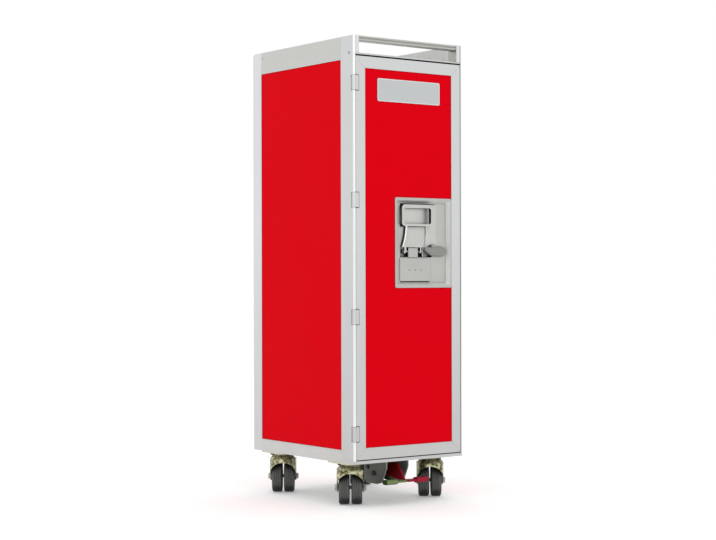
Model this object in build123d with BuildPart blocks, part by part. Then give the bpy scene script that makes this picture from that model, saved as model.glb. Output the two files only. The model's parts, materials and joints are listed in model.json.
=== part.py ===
from build123d import *
import os
from math import cos, radians

# Half-size galley trolley: a framed cabinet on four swivel casters, with a full-height door in front,
# a recessed latch in the door and a pair of brake pedals under the sill.
# Millimetres. +Z is up and the floor is Z = 0. The door faces -Y, hinged on -X and latched on +X.
# The origin is on the floor, under the middle of the cabinet.

os.makedirs("parts", exist_ok=True)

# Cabinet envelope
BODY_WIDTH = 302.0
BODY_DEPTH = 405.0
TOP_Z = 1030.0

# Framed walls: extruded posts and rails whose cover lip holds the edge of a sandwich panel
WALL = 14.0
COVER_LIP = 1.0
PANEL_TUCK = 8.0
FRONT_POST_DEPTH = 49.5
POST_FLANGE = 3.0
POST_ROUND = 2.0
REAR_POST_DEPTH = 37.5
REAR_POST_WIDTH = 30.0
REAR_CORNER_RADIUS = 4.0
REAR_TOP_RADIUS = 12.0
TOP_RAIL_HEIGHT = 50.0
BOTTOM_RAIL_HEIGHT = 28.0
RAIL_ROUND = 2.0

# Worktop, base and handles
WORKTOP_DROP = 38.0
WORKTOP_THICKNESS = 24.0
NOSE_HEIGHT = 3.6
FACE_SETBACK = 0.8
TRAY_RECESS = 1.5
TRAY_MARGIN = 6.0
TRAY_CORNER = 8.0
FLOOR_THICKNESS = 20.0
SILL_HEIGHT = 7.0
HANDLE_DEPTH = 24.0
HANDLE_HEIGHT = 12.0
HANDLE_ROUND = 4.5
HANDLE_GROOVE_WIDTH = 2.0
HANDLE_GROOVE_DEPTH = 1.2

# Runner rails for the drawers and trays
RUNNER_SPACES = 14
RUNNER_WIDTH = 8.0
RUNNER_ROOT = 5.0
RUNNER_NOSE = 2.5
RUNNER_END_GAP = 6.0

# Door frame and panel
DOOR_THICKNESS = 26.0
SEAL_SPACE = 3.0
DOOR_GAP = 1.5
HEAD_GAP = 2.9
STRIKE_GAP = 0.6
LOCK_BEVEL = 1.2
DOOR_FRAME_WIDTH = 26.0
DOOR_FRAME_ROUND = 1.5
DOOR_PANEL_THICKNESS = 20.0
SEAL_WIDTH = 4.0
SEAL_INSET = 1.0
SEAL_CLEARANCE = 0.3

# Door hinge: a bead on the post, four knuckles on the door and one long pin
HINGE_OFFSET = 0.5
BEAD_RADIUS = 3.2
KNUCKLE_RADIUS = 4.0
KNUCKLE_HEIGHT = 32.0
KNUCKLE_COUNT = 4
KNUCKLE_FOOT_INSET = 57.0
KNUCKLE_HEAD_INSET = 59.0
KNUCKLE_EDGE_GAP = 0.3
LEAF_WIDTH = 12.0
LEAF_THICKNESS = 1.5
NOTCH_CLEARANCE = 0.5
NOTCH_DEPTH = 1.5
HINGE_PIN_RADIUS = 1.5
PIN_FIT = 0.03
RUNNING_FIT = 0.06

# Latch pan: a pressed rim, a shallow tray and a deeper well
PAN_WIDTH = 161.0
PAN_HEIGHT = 200.0
PAN_RISE = 373.5
PAN_CORNER = 4.0
PAN_SHEET = 1.2
PAN_RIM = 5.5
PAN_TRAY_DEPTH = 8.5
PAN_TRAY_DRAFT = 5.0
WELL_LEFT_MARGIN = 19.3
WELL_RIGHT_MARGIN = 39.4
WELL_TOP_MARGIN = 12.5
WELL_BOTTOM_MARGIN = 68.0
WELL_DEPTH = 16.0
WELL_CORNER = 3.0
WELL_DRAFT = 12.0
POCKET_CLEARANCE = 0.3
COVER_SHEET = 2.0
COVER_LEFT_MARGIN = 18.4
COVER_RIGHT_MARGIN = 57.3
COVER_BOTTOM_MARGIN = 15.0
COVER_WELL_GAP = 2.0
COVER_SLOT = 3.0
COVER_SLOT_INSET = 2.0

# Pull handle, hinged on a level pin across the well
PULL_PIN_RISE = 81.0
PULL_PIN_RADIUS = 2.5
PULL_KNUCKLE_RADIUS = 5.5
PULL_FLOOR_GAP = 0.3
PULL_LEVER_GAP = 2.0
PULL_ROW_INSET = 9.8
PULL_ROW_PARTS = (5.1, 7.6, 26.7, 5.1, 3.1, 3.9, 2.4)
PULL_LUG_GAP = 1.0
PULL_PLATE = 3.0
GRIP_LEFT_GAP = 1.5
GRIP_RIGHT_GAP = 14.5
GRIP_HEIGHT = 48.0
GRIP_TOP_MARGIN = 15.0
GRIP_THICKNESS = 9.0
GRIP_CORNER = 8.0
GRIP_RAIL = 9.0
NECK_LEFT_INSET = 11.6
NECK_RIGHT_INSET = 8.0
NECK_FLARE_GAP = 2.7
NECK_FOOT = 9.5
NECK_STEP = 5.5
NECK_FOLD_WIDTH = 12.0
NECK_FOLD = 1.5

# Turn lever, crank and sliding bolt
SPINDLE_FROM_EDGE = 26.0
LEVER_REACH = 46.0
LEVER_BOSS_RADIUS = 10.5
LEVER_SHOULDER_REACH = 30.0
LEVER_SHOULDER_RADIUS = 9.0
LEVER_TIP_RADIUS = 4.0
LEVER_TIP_RISE = 5.0
LEVER_THICKNESS = 5.7
LEVER_COVER_GAP = 0.75
SPINDLE_RADIUS = 4.0
CRANK_RADIUS = 9.0
CRANK_THICKNESS = 3.0
CRANK_THROW = 5.0
CRANK_REST_ANGLE = 45.0
CRANK_PIN_RADIUS = 2.5
CRANK_SLOT_CLEARANCE = 0.4
BOLT_THICKNESS = 6.0
BOLT_HEIGHT = 14.0
BOLT_TAIL_LENGTH = 18.5
BOLT_TAIL_HEIGHT = 22.0
BOLT_CLEARANCE = 0.5
WORKS_CLEARANCE = 2.0
KEEPER_TONGUE = 2.5
KEEPER_HEIGHT = 24.0
KEEPER_PLATE = 1.5
KEEPER_CLEARANCE = 2.0
KEEPER_WALL = 2.0

# Casters with twin wheels, resting as they were left after a turn
CASTER_SIDE_INSET = 38.0
CASTER_END_INSET = 68.5
CASTER_HEADROOM = 24.0
CASTER_TURN = 36.3
CASTER_TRAIL = 25.0
WHEEL_RADIUS = 37.5
WHEEL_WIDTH = 24.0
WHEEL_SPACING = 4.0
TYRE_BORE_RADIUS = 26.0
TYRE_SHOULDER = 4.0
HUB_PROUD = 1.2
HUB_BOSS_RADIUS = 9.0
HUB_RIM = 4.0
HUB_DISH = 7.0
AXLE_RADIUS = 4.0
AXLE_HEAD = 5.0
AXLE_HEX = 13.0
FORK_SHEET = 3.0
FORK_SIDE_GAP = 0.3
FORK_BOSS_RADIUS = 10.0
FORK_ROOF_GAP = 2.0
FORK_ARCH_RISE = 73.5
FORK_SKIRT_Z = 56.0
FORK_KNEE_Z = 48.0
CROWN_WEB = 6.5
CROWN_RADIUS = 25.0
CROWN_RING = 2.5
RACE_GAP = 0.5
RACE_HEIGHT = 4.0
RACE_RADIUS = 23.0
CASTER_PLATE = 4.0
CASTER_PLATE_WIDTH = 70.0
CASTER_PLATE_LENGTH = 84.0
CASTER_PLATE_CORNER = 8.0
KINGPIN_RADIUS = 6.0
KINGPIN_NUT_RADIUS = 10.0
KINGPIN_NUT_HEIGHT = 5.0

# Brake pedals on a shaft between two cheeks
CHEEK_SPREAD = 63.0
CHEEK_SHEET = 3.0
CHEEK_SETBACK = 44.0
CHEEK_LENGTH = 83.5
CHEEK_DROP = 59.0
CHEEK_NOSE_DROP = 20.0
CHEEK_TOE_SETBACK = 17.0
CHEEK_TOE_RISE = 5.0
CHEEK_SOLE_SETBACK = 36.0
CHEEK_HEEL_LENGTH = 10.0
CHEEK_HEEL_RISE = 8.0
PEDAL_SHAFT_SETBACK = 90.5
PEDAL_SHAFT_DROP = 35.0
PEDAL_SHAFT_RADIUS = 4.0
SHAFT_HEAD_RADIUS = 6.0
SHAFT_HEAD = 3.5
PEDAL_HUB_RADIUS = 8.0
PEDAL_GAP = 1.5
PEDAL_WEB = 5.0
PEDAL_WEB_ROOT = 14.0
RED_WEB_INSET = 2.0
GREEN_WEB_INSET = 21.0
RED_CREST = 24.0
CREST_FRONT = 40.0
CREST_BACK = 13.0
TREAD_SETBACK = 6.5
TREAD_DEPTH = 18.0
TREAD_DROP = 47.0
TREAD_BAR = 5.0
TREAD_BAR_ROUND = 2.0
TREAD_PAD = 11.0
TREAD_PAD_ROUND = 4.5
TREAD_REACH = 58.0
TREAD_PAD_WIDTH = 30.0
TAIL_REACH = 17.0
TAIL_WIDTH = 3.0
TAIL_RISE = 2.0
ROCKER_ARM = 23.0
ROCKER_HEIGHT = 10.0
ROCKER_DEPTH = 6.0
ROCKER_GAP = 1.0
ROCKER_PIN_RADIUS = 3.0

# Planes of the cabinet that the pieces share
LEFT = -BODY_WIDTH / 2
RIGHT = BODY_WIDTH / 2
FRONT = -BODY_DEPTH / 2
BACK = BODY_DEPTH / 2
INNER_X = RIGHT - WALL
FRAME_FRONT = FRONT + DOOR_THICKNESS + SEAL_SPACE
REAR_INNER = BACK - WALL
BASE_Z = 2 * WHEEL_RADIUS + CASTER_HEADROOM
WORKTOP_Z = TOP_Z - WORKTOP_DROP
SILL_TOP = BASE_Z + SILL_HEIGHT
FLOOR_TOP = BASE_Z + FLOOR_THICKNESS
CEILING = WORKTOP_Z - WORKTOP_THICKNESS

# Side panel edges, tucked behind the lips of the posts and rails
LIP_FRONT = FRONT + FRONT_POST_DEPTH
LIP_REAR = BACK - REAR_POST_DEPTH
PANEL_FRONT = LIP_FRONT - PANEL_TUCK
PANEL_REAR = LIP_REAR + PANEL_TUCK
LIP_TOP = TOP_Z - TOP_RAIL_HEIGHT
LIP_BOTTOM = BASE_Z + BOTTOM_RAIL_HEIGHT
PANEL_TOP = LIP_TOP + PANEL_TUCK
PANEL_BOTTOM = LIP_BOTTOM - PANEL_TUCK
BACK_LIP_X = RIGHT - REAR_POST_WIDTH
BACK_PANEL_X = BACK_LIP_X + PANEL_TUCK

# Hinge axis and door edges
HINGE_X = LEFT - HINGE_OFFSET
HINGE_Y = FRONT - HINGE_OFFSET
DOOR_LEFT = HINGE_X + KNUCKLE_RADIUS + KNUCKLE_EDGE_GAP
DOOR_RIGHT = RIGHT - POST_FLANGE - STRIKE_GAP
DOOR_BOTTOM = SILL_TOP + DOOR_GAP
DOOR_TOP = WORKTOP_Z - NOSE_HEIGHT - HEAD_GAP
DOOR_BACK = FRONT + DOOR_THICKNESS
FIRST_KNUCKLE_Z = DOOR_BOTTOM + KNUCKLE_FOOT_INSET
KNUCKLE_PITCH = (DOOR_TOP - KNUCKLE_HEAD_INSET - FIRST_KNUCKLE_Z) / (KNUCKLE_COUNT - 1)
KNUCKLE_LEVELS = [FIRST_KNUCKLE_Z + KNUCKLE_PITCH * i for i in range(KNUCKLE_COUNT)]
DOOR_PANEL_FACE = FRONT + COVER_LIP
DOOR_PANEL_BACK = DOOR_PANEL_FACE + DOOR_PANEL_THICKNESS
DOOR_PANEL_EDGE = DOOR_FRAME_WIDTH - PANEL_TUCK

# Latch pan planes
PAN_RIGHT = DOOR_RIGHT - DOOR_FRAME_WIDTH
PAN_LEFT = PAN_RIGHT - PAN_WIDTH
PAN_BOTTOM_Z = DOOR_BOTTOM + PAN_RISE
PAN_TOP_Z = PAN_BOTTOM_Z + PAN_HEIGHT
PAN_FACE = DOOR_PANEL_FACE - PAN_SHEET
PAN_TRAY_FLOOR = PAN_FACE + PAN_TRAY_DEPTH
PAN_WELL_FLOOR = PAN_FACE + WELL_DEPTH
WELL_LEFT = PAN_LEFT + WELL_LEFT_MARGIN
WELL_RIGHT = PAN_RIGHT - WELL_RIGHT_MARGIN
WELL_TOP_Z = PAN_TOP_Z - WELL_TOP_MARGIN
WELL_BOTTOM_Z = PAN_BOTTOM_Z + WELL_BOTTOM_MARGIN
PULL_PIN_Y = PAN_WELL_FLOOR - PULL_FLOOR_GAP - PULL_KNUCKLE_RADIUS
PULL_PIN_Z = PAN_BOTTOM_Z + PULL_PIN_RISE
GRIP_TOP_Z = PAN_TOP_Z - GRIP_TOP_MARGIN
SPINDLE_X = PAN_RIGHT - SPINDLE_FROM_EDGE
SPINDLE_Z = PULL_PIN_Z
LEVER_BACK = PAN_TRAY_FLOOR - COVER_SHEET - LEVER_COVER_GAP
LEVER_TIP_X = SPINDLE_X - LEVER_REACH - LEVER_TIP_RADIUS
CRANK_FRONT = PAN_TRAY_FLOOR + PAN_SHEET + POCKET_CLEARANCE
CRANK_BACK = CRANK_FRONT + CRANK_THICKNESS
BOLT_FRONT = CRANK_BACK + BOLT_CLEARANCE
BOLT_BACK = BOLT_FRONT + BOLT_THICKNESS
CRANK_SIDE = CRANK_THROW * cos(radians(CRANK_REST_ANGLE))
SEAL_INNER_X = INNER_X + SEAL_INSET
KEEPER_X = SEAL_INNER_X + SEAL_WIDTH + SEAL_INSET
KEEPER_NOTCH_X = KEEPER_X - KEEPER_CLEARANCE
BOLT_TIP_X = KEEPER_NOTCH_X - BOLT_CLEARANCE
BOLT_WAY_HALF = BOLT_HEIGHT / 2 + BOLT_CLEARANCE
KEEPER_FRONT = BOLT_FRONT - KEEPER_WALL - BOLT_CLEARANCE

# Caster planes
FORK_INNER = WHEEL_SPACING / 2 + WHEEL_WIDTH + HUB_PROUD + FORK_SIDE_GAP
FORK_OUTER = FORK_INNER + FORK_SHEET
RACE_BOTTOM = BASE_Z - CASTER_PLATE - RACE_HEIGHT
CROWN_TOP = RACE_BOTTOM - RACE_GAP
CROWN_BOTTOM = CROWN_TOP - CROWN_WEB
FORK_ROOF = 2 * WHEEL_RADIUS + FORK_ROOF_GAP
CASTER_X = RIGHT - CASTER_SIDE_INSET
CASTER_Y = BACK - CASTER_END_INSET
CASTERS = {
    "front_left": (-CASTER_X, -CASTER_Y),
    "front_right": (CASTER_X, -CASTER_Y),
    "rear_left": (-CASTER_X, CASTER_Y),
    "rear_right": (CASTER_X, CASTER_Y),
}

# Brake planes
CHEEK_FRONT_Y = FRONT + CHEEK_SETBACK
CHEEK_BACK_Y = CHEEK_FRONT_Y + CHEEK_LENGTH
CHEEK_LOW_Z = BASE_Z - CHEEK_DROP
PEDAL_SHAFT_Y = FRONT + PEDAL_SHAFT_SETBACK
PEDAL_SHAFT_Z = BASE_Z - PEDAL_SHAFT_DROP
TREAD_FRONT_Y = FRONT + TREAD_SETBACK
TREAD_Z = BASE_Z - TREAD_DROP


def save(part, name):
    """Label a finished piece and write it under its name."""
    part.label = name
    export_step(part, f"parts/{name}.step")


def front_plane(y):
    """Upright plane at a depth y: sketch X is +X, sketch Y is +Z, and extrusions go forward to -Y."""
    return Plane.XZ.offset(-y)


def block(low, high, mode=Mode.ADD):
    """A block between two opposite corners, joined to or cut from the piece being built."""
    low, high = Vector(*low), Vector(*high)
    size = high - low
    with Locations((low + high) / 2):
        Box(size.X, size.Y, size.Z, mode=mode)


def mirrored(part):
    """The right-hand twin of a left-hand piece."""
    with BuildPart() as twin:
        add(part)
        mirror(about=Plane.YZ, mode=Mode.REPLACE)
    return twin.part


# Side panels: flat sandwich sheets held behind the frame's cover lips
with BuildPart() as side_panel:
    block((LEFT + COVER_LIP, PANEL_FRONT, PANEL_BOTTOM), (-INNER_X, PANEL_REAR, PANEL_TOP))
save(mirrored(side_panel.part), "side_panel_right")
save(side_panel.part, "side_panel_left")

# Back panel, held the same way between the rear posts
with BuildPart() as back_panel:
    block((-BACK_PANEL_X, REAR_INNER, FLOOR_TOP), (BACK_PANEL_X, BACK - COVER_LIP, CEILING))
save(back_panel.part, "back_panel")

# Front post blank: a box section with a thin flange that covers the edge of the closed door
with BuildPart() as front_post:
    with BuildSketch(Plane.XY.offset(BASE_Z)):
        with BuildLine():
            Polyline(
                (LEFT, FRONT),
                (LEFT + POST_FLANGE, FRONT),
                (LEFT + POST_FLANGE, FRAME_FRONT),
                (-INNER_X, FRAME_FRONT),
                (-INNER_X, PANEL_FRONT),
                (LEFT + COVER_LIP, PANEL_FRONT),
                (LEFT + COVER_LIP, LIP_FRONT),
                (LEFT, LIP_FRONT),
                close=True,
            )
        make_face()
    extrude(amount=TOP_Z - BASE_Z)
    block((LEFT, FRONT, BASE_Z), (LEFT + POST_FLANGE, FRAME_FRONT, SILL_TOP), mode=Mode.SUBTRACT)

# Strike post: the right-hand post, with no bead, its front arris rounded
with BuildPart() as strike_post:
    add(mirrored(front_post.part))
    front_arris = strike_post.edges().filter_by(Axis.Z).group_by(Axis.Y)[0].sort_by(Axis.X)[-1]
    fillet(front_arris, POST_ROUND)
save(strike_post.part, "strike_post")

# Hinge post: a full-height bead on the front corner, bored for the pin and notched round each knuckle.
# The notch runs on along the side face, where the leaf lies when the door is folded right back.
with BuildPart() as hinge_post:
    add(front_post.part)
    with BuildSketch(Plane.XY.offset(SILL_TOP)):
        with Locations((HINGE_X, HINGE_Y)):
            Circle(BEAD_RADIUS)
    extrude(amount=TOP_Z - SILL_TOP)
    with BuildSketch(Plane.XY.offset(SILL_TOP)):
        with Locations((HINGE_X, HINGE_Y)):
            Circle(HINGE_PIN_RADIUS + PIN_FIT)
    extrude(amount=TOP_Z - SILL_TOP, mode=Mode.SUBTRACT)
    for level in KNUCKLE_LEVELS:
        notch_height = KNUCKLE_HEIGHT + 2 * NOTCH_CLEARANCE
        with BuildSketch(Plane.XY.offset(level - notch_height / 2)):
            with Locations((HINGE_X, HINGE_Y)):
                Circle(KNUCKLE_RADIUS + NOTCH_CLEARANCE)
            with Locations((LEFT + NOTCH_DEPTH, HINGE_Y)):
                Rectangle(
                    NOTCH_DEPTH + HINGE_OFFSET + KNUCKLE_RADIUS,
                    LEAF_WIDTH + NOTCH_CLEARANCE,
                    align=(Align.MAX, Align.MIN),
                )
        extrude(amount=notch_height, mode=Mode.SUBTRACT)
save(hinge_post.part, "hinge_post")

# Hinge pin: one rod from the sill to the worktop, through every knuckle
with BuildPart() as hinge_pin:
    with BuildSketch(Plane.XY.offset(SILL_TOP)):
        with Locations((HINGE_X, HINGE_Y)):
            Circle(HINGE_PIN_RADIUS)
    extrude(amount=WORKTOP_Z - SILL_TOP)
save(hinge_pin.part, "hinge_pin")

# Rear posts: rounded corner extrusions that hold the side panel and the back panel
with BuildPart() as rear_post:
    with BuildSketch(Plane.XY.offset(BASE_Z)) as section:
        with BuildLine():
            Polyline(
                (LEFT, LIP_REAR),
                (LEFT + COVER_LIP, LIP_REAR),
                (LEFT + COVER_LIP, PANEL_REAR),
                (-INNER_X, PANEL_REAR),
                (-INNER_X, REAR_INNER),
                (-BACK_LIP_X, REAR_INNER),
                (-BACK_LIP_X, BACK),
                (LEFT, BACK),
                close=True,
            )
        make_face()
        outer_corner = section.vertices().group_by(Axis.Y)[-1].sort_by(Axis.X)[0]
        fillet(outer_corner, REAR_CORNER_RADIUS)
    extrude(amount=TOP_Z - BASE_Z)
    with BuildSketch(Plane.YZ) as side_view:
        with BuildLine():
            Polyline((LIP_REAR, BASE_Z), (BACK, BASE_Z), (BACK, TOP_Z), (LIP_REAR, TOP_Z), close=True)
        make_face()
        top_corner = side_view.vertices().group_by(Axis.Y)[-1].sort_by(Axis.X)[-1]
        fillet(top_corner, REAR_TOP_RADIUS)
    extrude(amount=LEFT, mode=Mode.INTERSECT)
    block((-BACK_PANEL_X, REAR_INNER, BASE_Z), (-BACK_LIP_X, BACK - COVER_LIP, WORKTOP_Z), mode=Mode.SUBTRACT)
save(mirrored(rear_post.part), "rear_post_right")
save(rear_post.part, "rear_post_left")

# Top rails: the block that tenons between the posts, and the face strip with the panel lip
with BuildPart() as top_rail:
    block((LEFT + COVER_LIP, PANEL_FRONT, PANEL_TOP), (-INNER_X, PANEL_REAR, TOP_Z))
    block((LEFT, LIP_FRONT, LIP_TOP), (LEFT + COVER_LIP, LIP_REAR, TOP_Z))
    inner_arris = top_rail.edges().filter_by(Axis.Y).group_by(Axis.Z)[-1].sort_by(Axis.X)[-1]
    fillet(inner_arris, RAIL_ROUND)
save(mirrored(top_rail.part), "top_rail_right")
save(top_rail.part, "top_rail_left")

# Bottom rails
with BuildPart() as bottom_rail:
    block((LEFT + COVER_LIP, PANEL_FRONT, BASE_Z), (-INNER_X, PANEL_REAR, PANEL_BOTTOM))
    block((LEFT, LIP_FRONT, BASE_Z), (LEFT + COVER_LIP, LIP_REAR, LIP_BOTTOM))
save(mirrored(bottom_rail.part), "bottom_rail_right")
save(bottom_rail.part, "bottom_rail_left")

# Worktop: a thick tray with a nose over the door and an apron that frames the back panel
with BuildPart() as worktop:
    with BuildSketch(Plane.YZ):
        with BuildLine():
            Polyline(
                (FRONT + FACE_SETBACK, WORKTOP_Z),
                (REAR_INNER, WORKTOP_Z),
                (REAR_INNER, CEILING),
                (FRAME_FRONT, CEILING),
                (FRAME_FRONT, WORKTOP_Z - NOSE_HEIGHT),
                (FRONT + FACE_SETBACK, WORKTOP_Z - NOSE_HEIGHT),
                close=True,
            )
        make_face()
    extrude(amount=INNER_X, both=True)
    nose_end = RIGHT - POST_FLANGE
    block((-nose_end, FRONT + FACE_SETBACK, WORKTOP_Z - NOSE_HEIGHT), (nose_end, FRAME_FRONT, WORKTOP_Z))
    block((-BACK_PANEL_X, REAR_INNER, CEILING), (BACK_PANEL_X, BACK - COVER_LIP, WORKTOP_Z))
    block((-BACK_LIP_X, BACK - COVER_LIP, CEILING - PANEL_TUCK), (BACK_LIP_X, BACK, WORKTOP_Z))
    with BuildSketch(Plane.XY.offset(WORKTOP_Z)):
        with Locations((0, (FRAME_FRONT + REAR_INNER) / 2)):
            RectangleRounded(
                2 * (INNER_X - TRAY_MARGIN),
                REAR_INNER - FRAME_FRONT - 2 * TRAY_MARGIN,
                TRAY_CORNER,
            )
    extrude(amount=-TRAY_RECESS, mode=Mode.SUBTRACT)
save(worktop.part, "worktop")

# Base: the cabinet floor, the sill strip under the door and the rear apron
with BuildPart() as base_tray:
    block((-INNER_X, FRAME_FRONT, BASE_Z), (INNER_X, REAR_INNER, FLOOR_TOP))
    block((LEFT, FRONT, BASE_Z), (RIGHT, FRAME_FRONT, SILL_TOP))
    block((-BACK_PANEL_X, REAR_INNER, BASE_Z), (BACK_PANEL_X, BACK - COVER_LIP, FLOOR_TOP))
    block((-BACK_LIP_X, BACK - COVER_LIP, BASE_Z), (BACK_LIP_X, BACK, FLOOR_TOP + PANEL_TUCK))
save(base_tray.part, "base_tray")

# Front handle: a rounded bar, grooved along its face, between two end blocks on the worktop nose
with BuildPart() as front_handle:
    handle_y = FRONT + FACE_SETBACK + HANDLE_DEPTH / 2
    with BuildSketch(Plane.YZ):
        with Locations((handle_y, TOP_Z - HANDLE_HEIGHT / 2)):
            RectangleRounded(HANDLE_DEPTH, HANDLE_HEIGHT, HANDLE_ROUND)
        with Locations((FRONT + FACE_SETBACK, TOP_Z - HANDLE_HEIGHT / 2)):
            Rectangle(2 * HANDLE_GROOVE_DEPTH, HANDLE_GROOVE_WIDTH, mode=Mode.SUBTRACT)
    extrude(amount=INNER_X, both=True)
    block((INNER_X, FRONT + FACE_SETBACK, WORKTOP_Z), (RIGHT - POST_FLANGE, FRAME_FRONT, TOP_Z))
    block((LEFT + POST_FLANGE, FRONT + FACE_SETBACK, WORKTOP_Z), (-INNER_X, FRAME_FRONT, TOP_Z))
save(front_handle.part, "front_handle")

# Rear handle: the same bar, fixed straight between the rear posts
with BuildPart() as rear_handle:
    with BuildSketch(Plane.YZ):
        with Locations((BACK - FACE_SETBACK - HANDLE_DEPTH / 2, TOP_Z - HANDLE_HEIGHT / 2)):
            RectangleRounded(HANDLE_DEPTH, HANDLE_HEIGHT, HANDLE_ROUND)
        with Locations((BACK - FACE_SETBACK, TOP_Z - HANDLE_HEIGHT / 2)):
            Rectangle(2 * HANDLE_GROOVE_DEPTH, HANDLE_GROOVE_WIDTH, mode=Mode.SUBTRACT)
    extrude(amount=BACK_LIP_X, both=True)
save(rear_handle.part, "rear_handle")

# Runner rails: tapered ledges on both inner walls, evenly spaced from floor to ceiling
with BuildPart() as runner_rails:
    runner_pitch = (CEILING - FLOOR_TOP) / RUNNER_SPACES
    runner_length = REAR_INNER - FRAME_FRONT - 2 * RUNNER_END_GAP
    for space in range(1, RUNNER_SPACES):
        ledge = FLOOR_TOP + space * runner_pitch
        with BuildSketch(front_plane(REAR_INNER - RUNNER_END_GAP)):
            for side in (-1, 1):
                with BuildLine():
                    Polyline(
                        (side * INNER_X, ledge),
                        (side * (INNER_X - RUNNER_WIDTH), ledge),
                        (side * (INNER_X - RUNNER_WIDTH), ledge - RUNNER_NOSE),
                        (side * INNER_X, ledge - RUNNER_ROOT),
                        close=True,
                    )
                make_face()
        extrude(amount=runner_length)
save(runner_rails.part, "runner_rails")

# Door frame: one grooved section for all four sides, mitred at the corners. The lock edge is bevelled, so
# that its back corner swings past the strike post.
DOOR_PANEL_LOW = (DOOR_LEFT + DOOR_PANEL_EDGE, DOOR_PANEL_FACE, DOOR_BOTTOM + DOOR_PANEL_EDGE)
DOOR_PANEL_HIGH = (DOOR_RIGHT - DOOR_PANEL_EDGE, DOOR_PANEL_BACK, DOOR_TOP - DOOR_PANEL_EDGE)


def door_frame_side(start, end):
    """One side of the door frame, from one corner to the next, counted round from the hinge foot."""
    signs = [(1, 1), (-1, 1), (-1, -1), (1, -1)]
    outer = [
        (DOOR_LEFT, DOOR_BOTTOM),
        (DOOR_RIGHT, DOOR_BOTTOM),
        (DOOR_RIGHT, DOOR_TOP),
        (DOOR_LEFT, DOOR_TOP),
    ]
    inner = [(x + i * DOOR_FRAME_WIDTH, z + j * DOOR_FRAME_WIDTH) for (x, z), (i, j) in zip(outer, signs)]
    with BuildPart() as side:
        with BuildSketch(front_plane(DOOR_BACK)):
            with BuildLine():
                Polyline(outer[start], outer[end], inner[end], inner[start], close=True)
            make_face()
        extrude(amount=DOOR_THICKNESS)
        block(DOOR_PANEL_LOW, DOOR_PANEL_HIGH, mode=Mode.SUBTRACT)
        with BuildSketch(Plane.XY.offset(DOOR_BOTTOM)):
            with BuildLine():
                Polyline(
                    (DOOR_RIGHT, FRONT),
                    (DOOR_RIGHT, DOOR_BACK),
                    (DOOR_RIGHT - LOCK_BEVEL, DOOR_BACK),
                    close=True,
                )
            make_face()
        extrude(amount=DOOR_TOP - DOOR_BOTTOM, mode=Mode.SUBTRACT)
        front_edges = side.edges().group_by(Axis.Y)[0]
        fillet(front_edges.sort_by(SortBy.LENGTH)[-1], DOOR_FRAME_ROUND)
    return side.part


save(door_frame_side(0, 1), "door_rail_bottom")
save(door_frame_side(2, 3), "door_rail_top")
save(door_frame_side(3, 0), "door_stile_hinge")

# Latch stile: the bolt passes through it into a notch that takes the keeper when the door shuts
with BuildPart() as door_stile_latch:
    add(door_frame_side(1, 2))
    notch_half = KEEPER_HEIGHT / 2 + KEEPER_CLEARANCE
    block(
        (KEEPER_NOTCH_X, KEEPER_FRONT - BOLT_CLEARANCE, SPINDLE_Z - notch_half),
        (DOOR_RIGHT, DOOR_BACK, SPINDLE_Z + notch_half),
        mode=Mode.SUBTRACT,
    )
    block(
        (PAN_RIGHT, BOLT_FRONT - BOLT_CLEARANCE, SPINDLE_Z - BOLT_WAY_HALF),
        (KEEPER_NOTCH_X, BOLT_BACK + BOLT_CLEARANCE, SPINDLE_Z + BOLT_WAY_HALF),
        mode=Mode.SUBTRACT,
    )
save(door_stile_latch.part, "door_stile_latch")

# Latch keeper: an angle on the strike post whose tongue reaches into the stile's notch
with BuildPart() as latch_keeper:
    keeper_low = SPINDLE_Z - KEEPER_HEIGHT / 2
    keeper_high = SPINDLE_Z + KEEPER_HEIGHT / 2
    block((KEEPER_X, FRAME_FRONT - KEEPER_PLATE, keeper_low), (RIGHT - POST_FLANGE, FRAME_FRONT, keeper_high))
    block((KEEPER_X, KEEPER_FRONT, keeper_low), (KEEPER_X + KEEPER_TONGUE, FRAME_FRONT, keeper_high))
    block(
        (KEEPER_X, BOLT_FRONT - BOLT_CLEARANCE, SPINDLE_Z - BOLT_WAY_HALF),
        (KEEPER_X + KEEPER_TONGUE, BOLT_BACK + BOLT_CLEARANCE, SPINDLE_Z + BOLT_WAY_HALF),
        mode=Mode.SUBTRACT,
    )
save(latch_keeper.part, "latch_keeper")

# Door panel: a sandwich sheet, pocketed for the latch pan and for the crank and bolt behind it
TRAY_LEFT = PAN_LEFT + PAN_RIM
TRAY_RIGHT = PAN_RIGHT - PAN_RIM
TRAY_BOTTOM_Z = PAN_BOTTOM_Z + PAN_RIM
TRAY_TOP_Z = PAN_TOP_Z - PAN_RIM
SLOT_X = SPINDLE_X - CRANK_SIDE
with BuildPart() as door_panel:
    block(DOOR_PANEL_LOW, DOOR_PANEL_HIGH)
    pocket = PAN_SHEET + POCKET_CLEARANCE
    block(
        (TRAY_LEFT - pocket, DOOR_PANEL_FACE, TRAY_BOTTOM_Z - pocket),
        (TRAY_RIGHT + pocket, PAN_TRAY_FLOOR + pocket, TRAY_TOP_Z + pocket),
        mode=Mode.SUBTRACT,
    )
    block(
        (WELL_LEFT - pocket, DOOR_PANEL_FACE, WELL_BOTTOM_Z - pocket),
        (WELL_RIGHT + pocket, PAN_WELL_FLOOR + pocket, WELL_TOP_Z + pocket),
        mode=Mode.SUBTRACT,
    )
    works_half = BOLT_TAIL_HEIGHT / 2 + WORKS_CLEARANCE
    block(
        (SLOT_X - BOLT_TAIL_LENGTH / 2 - BOLT_CLEARANCE, DOOR_PANEL_FACE, SPINDLE_Z - works_half),
        (DOOR_PANEL_HIGH[0], BOLT_BACK + BOLT_CLEARANCE, SPINDLE_Z + works_half),
        mode=Mode.SUBTRACT,
    )
save(door_panel.part, "door_panel")

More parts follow.
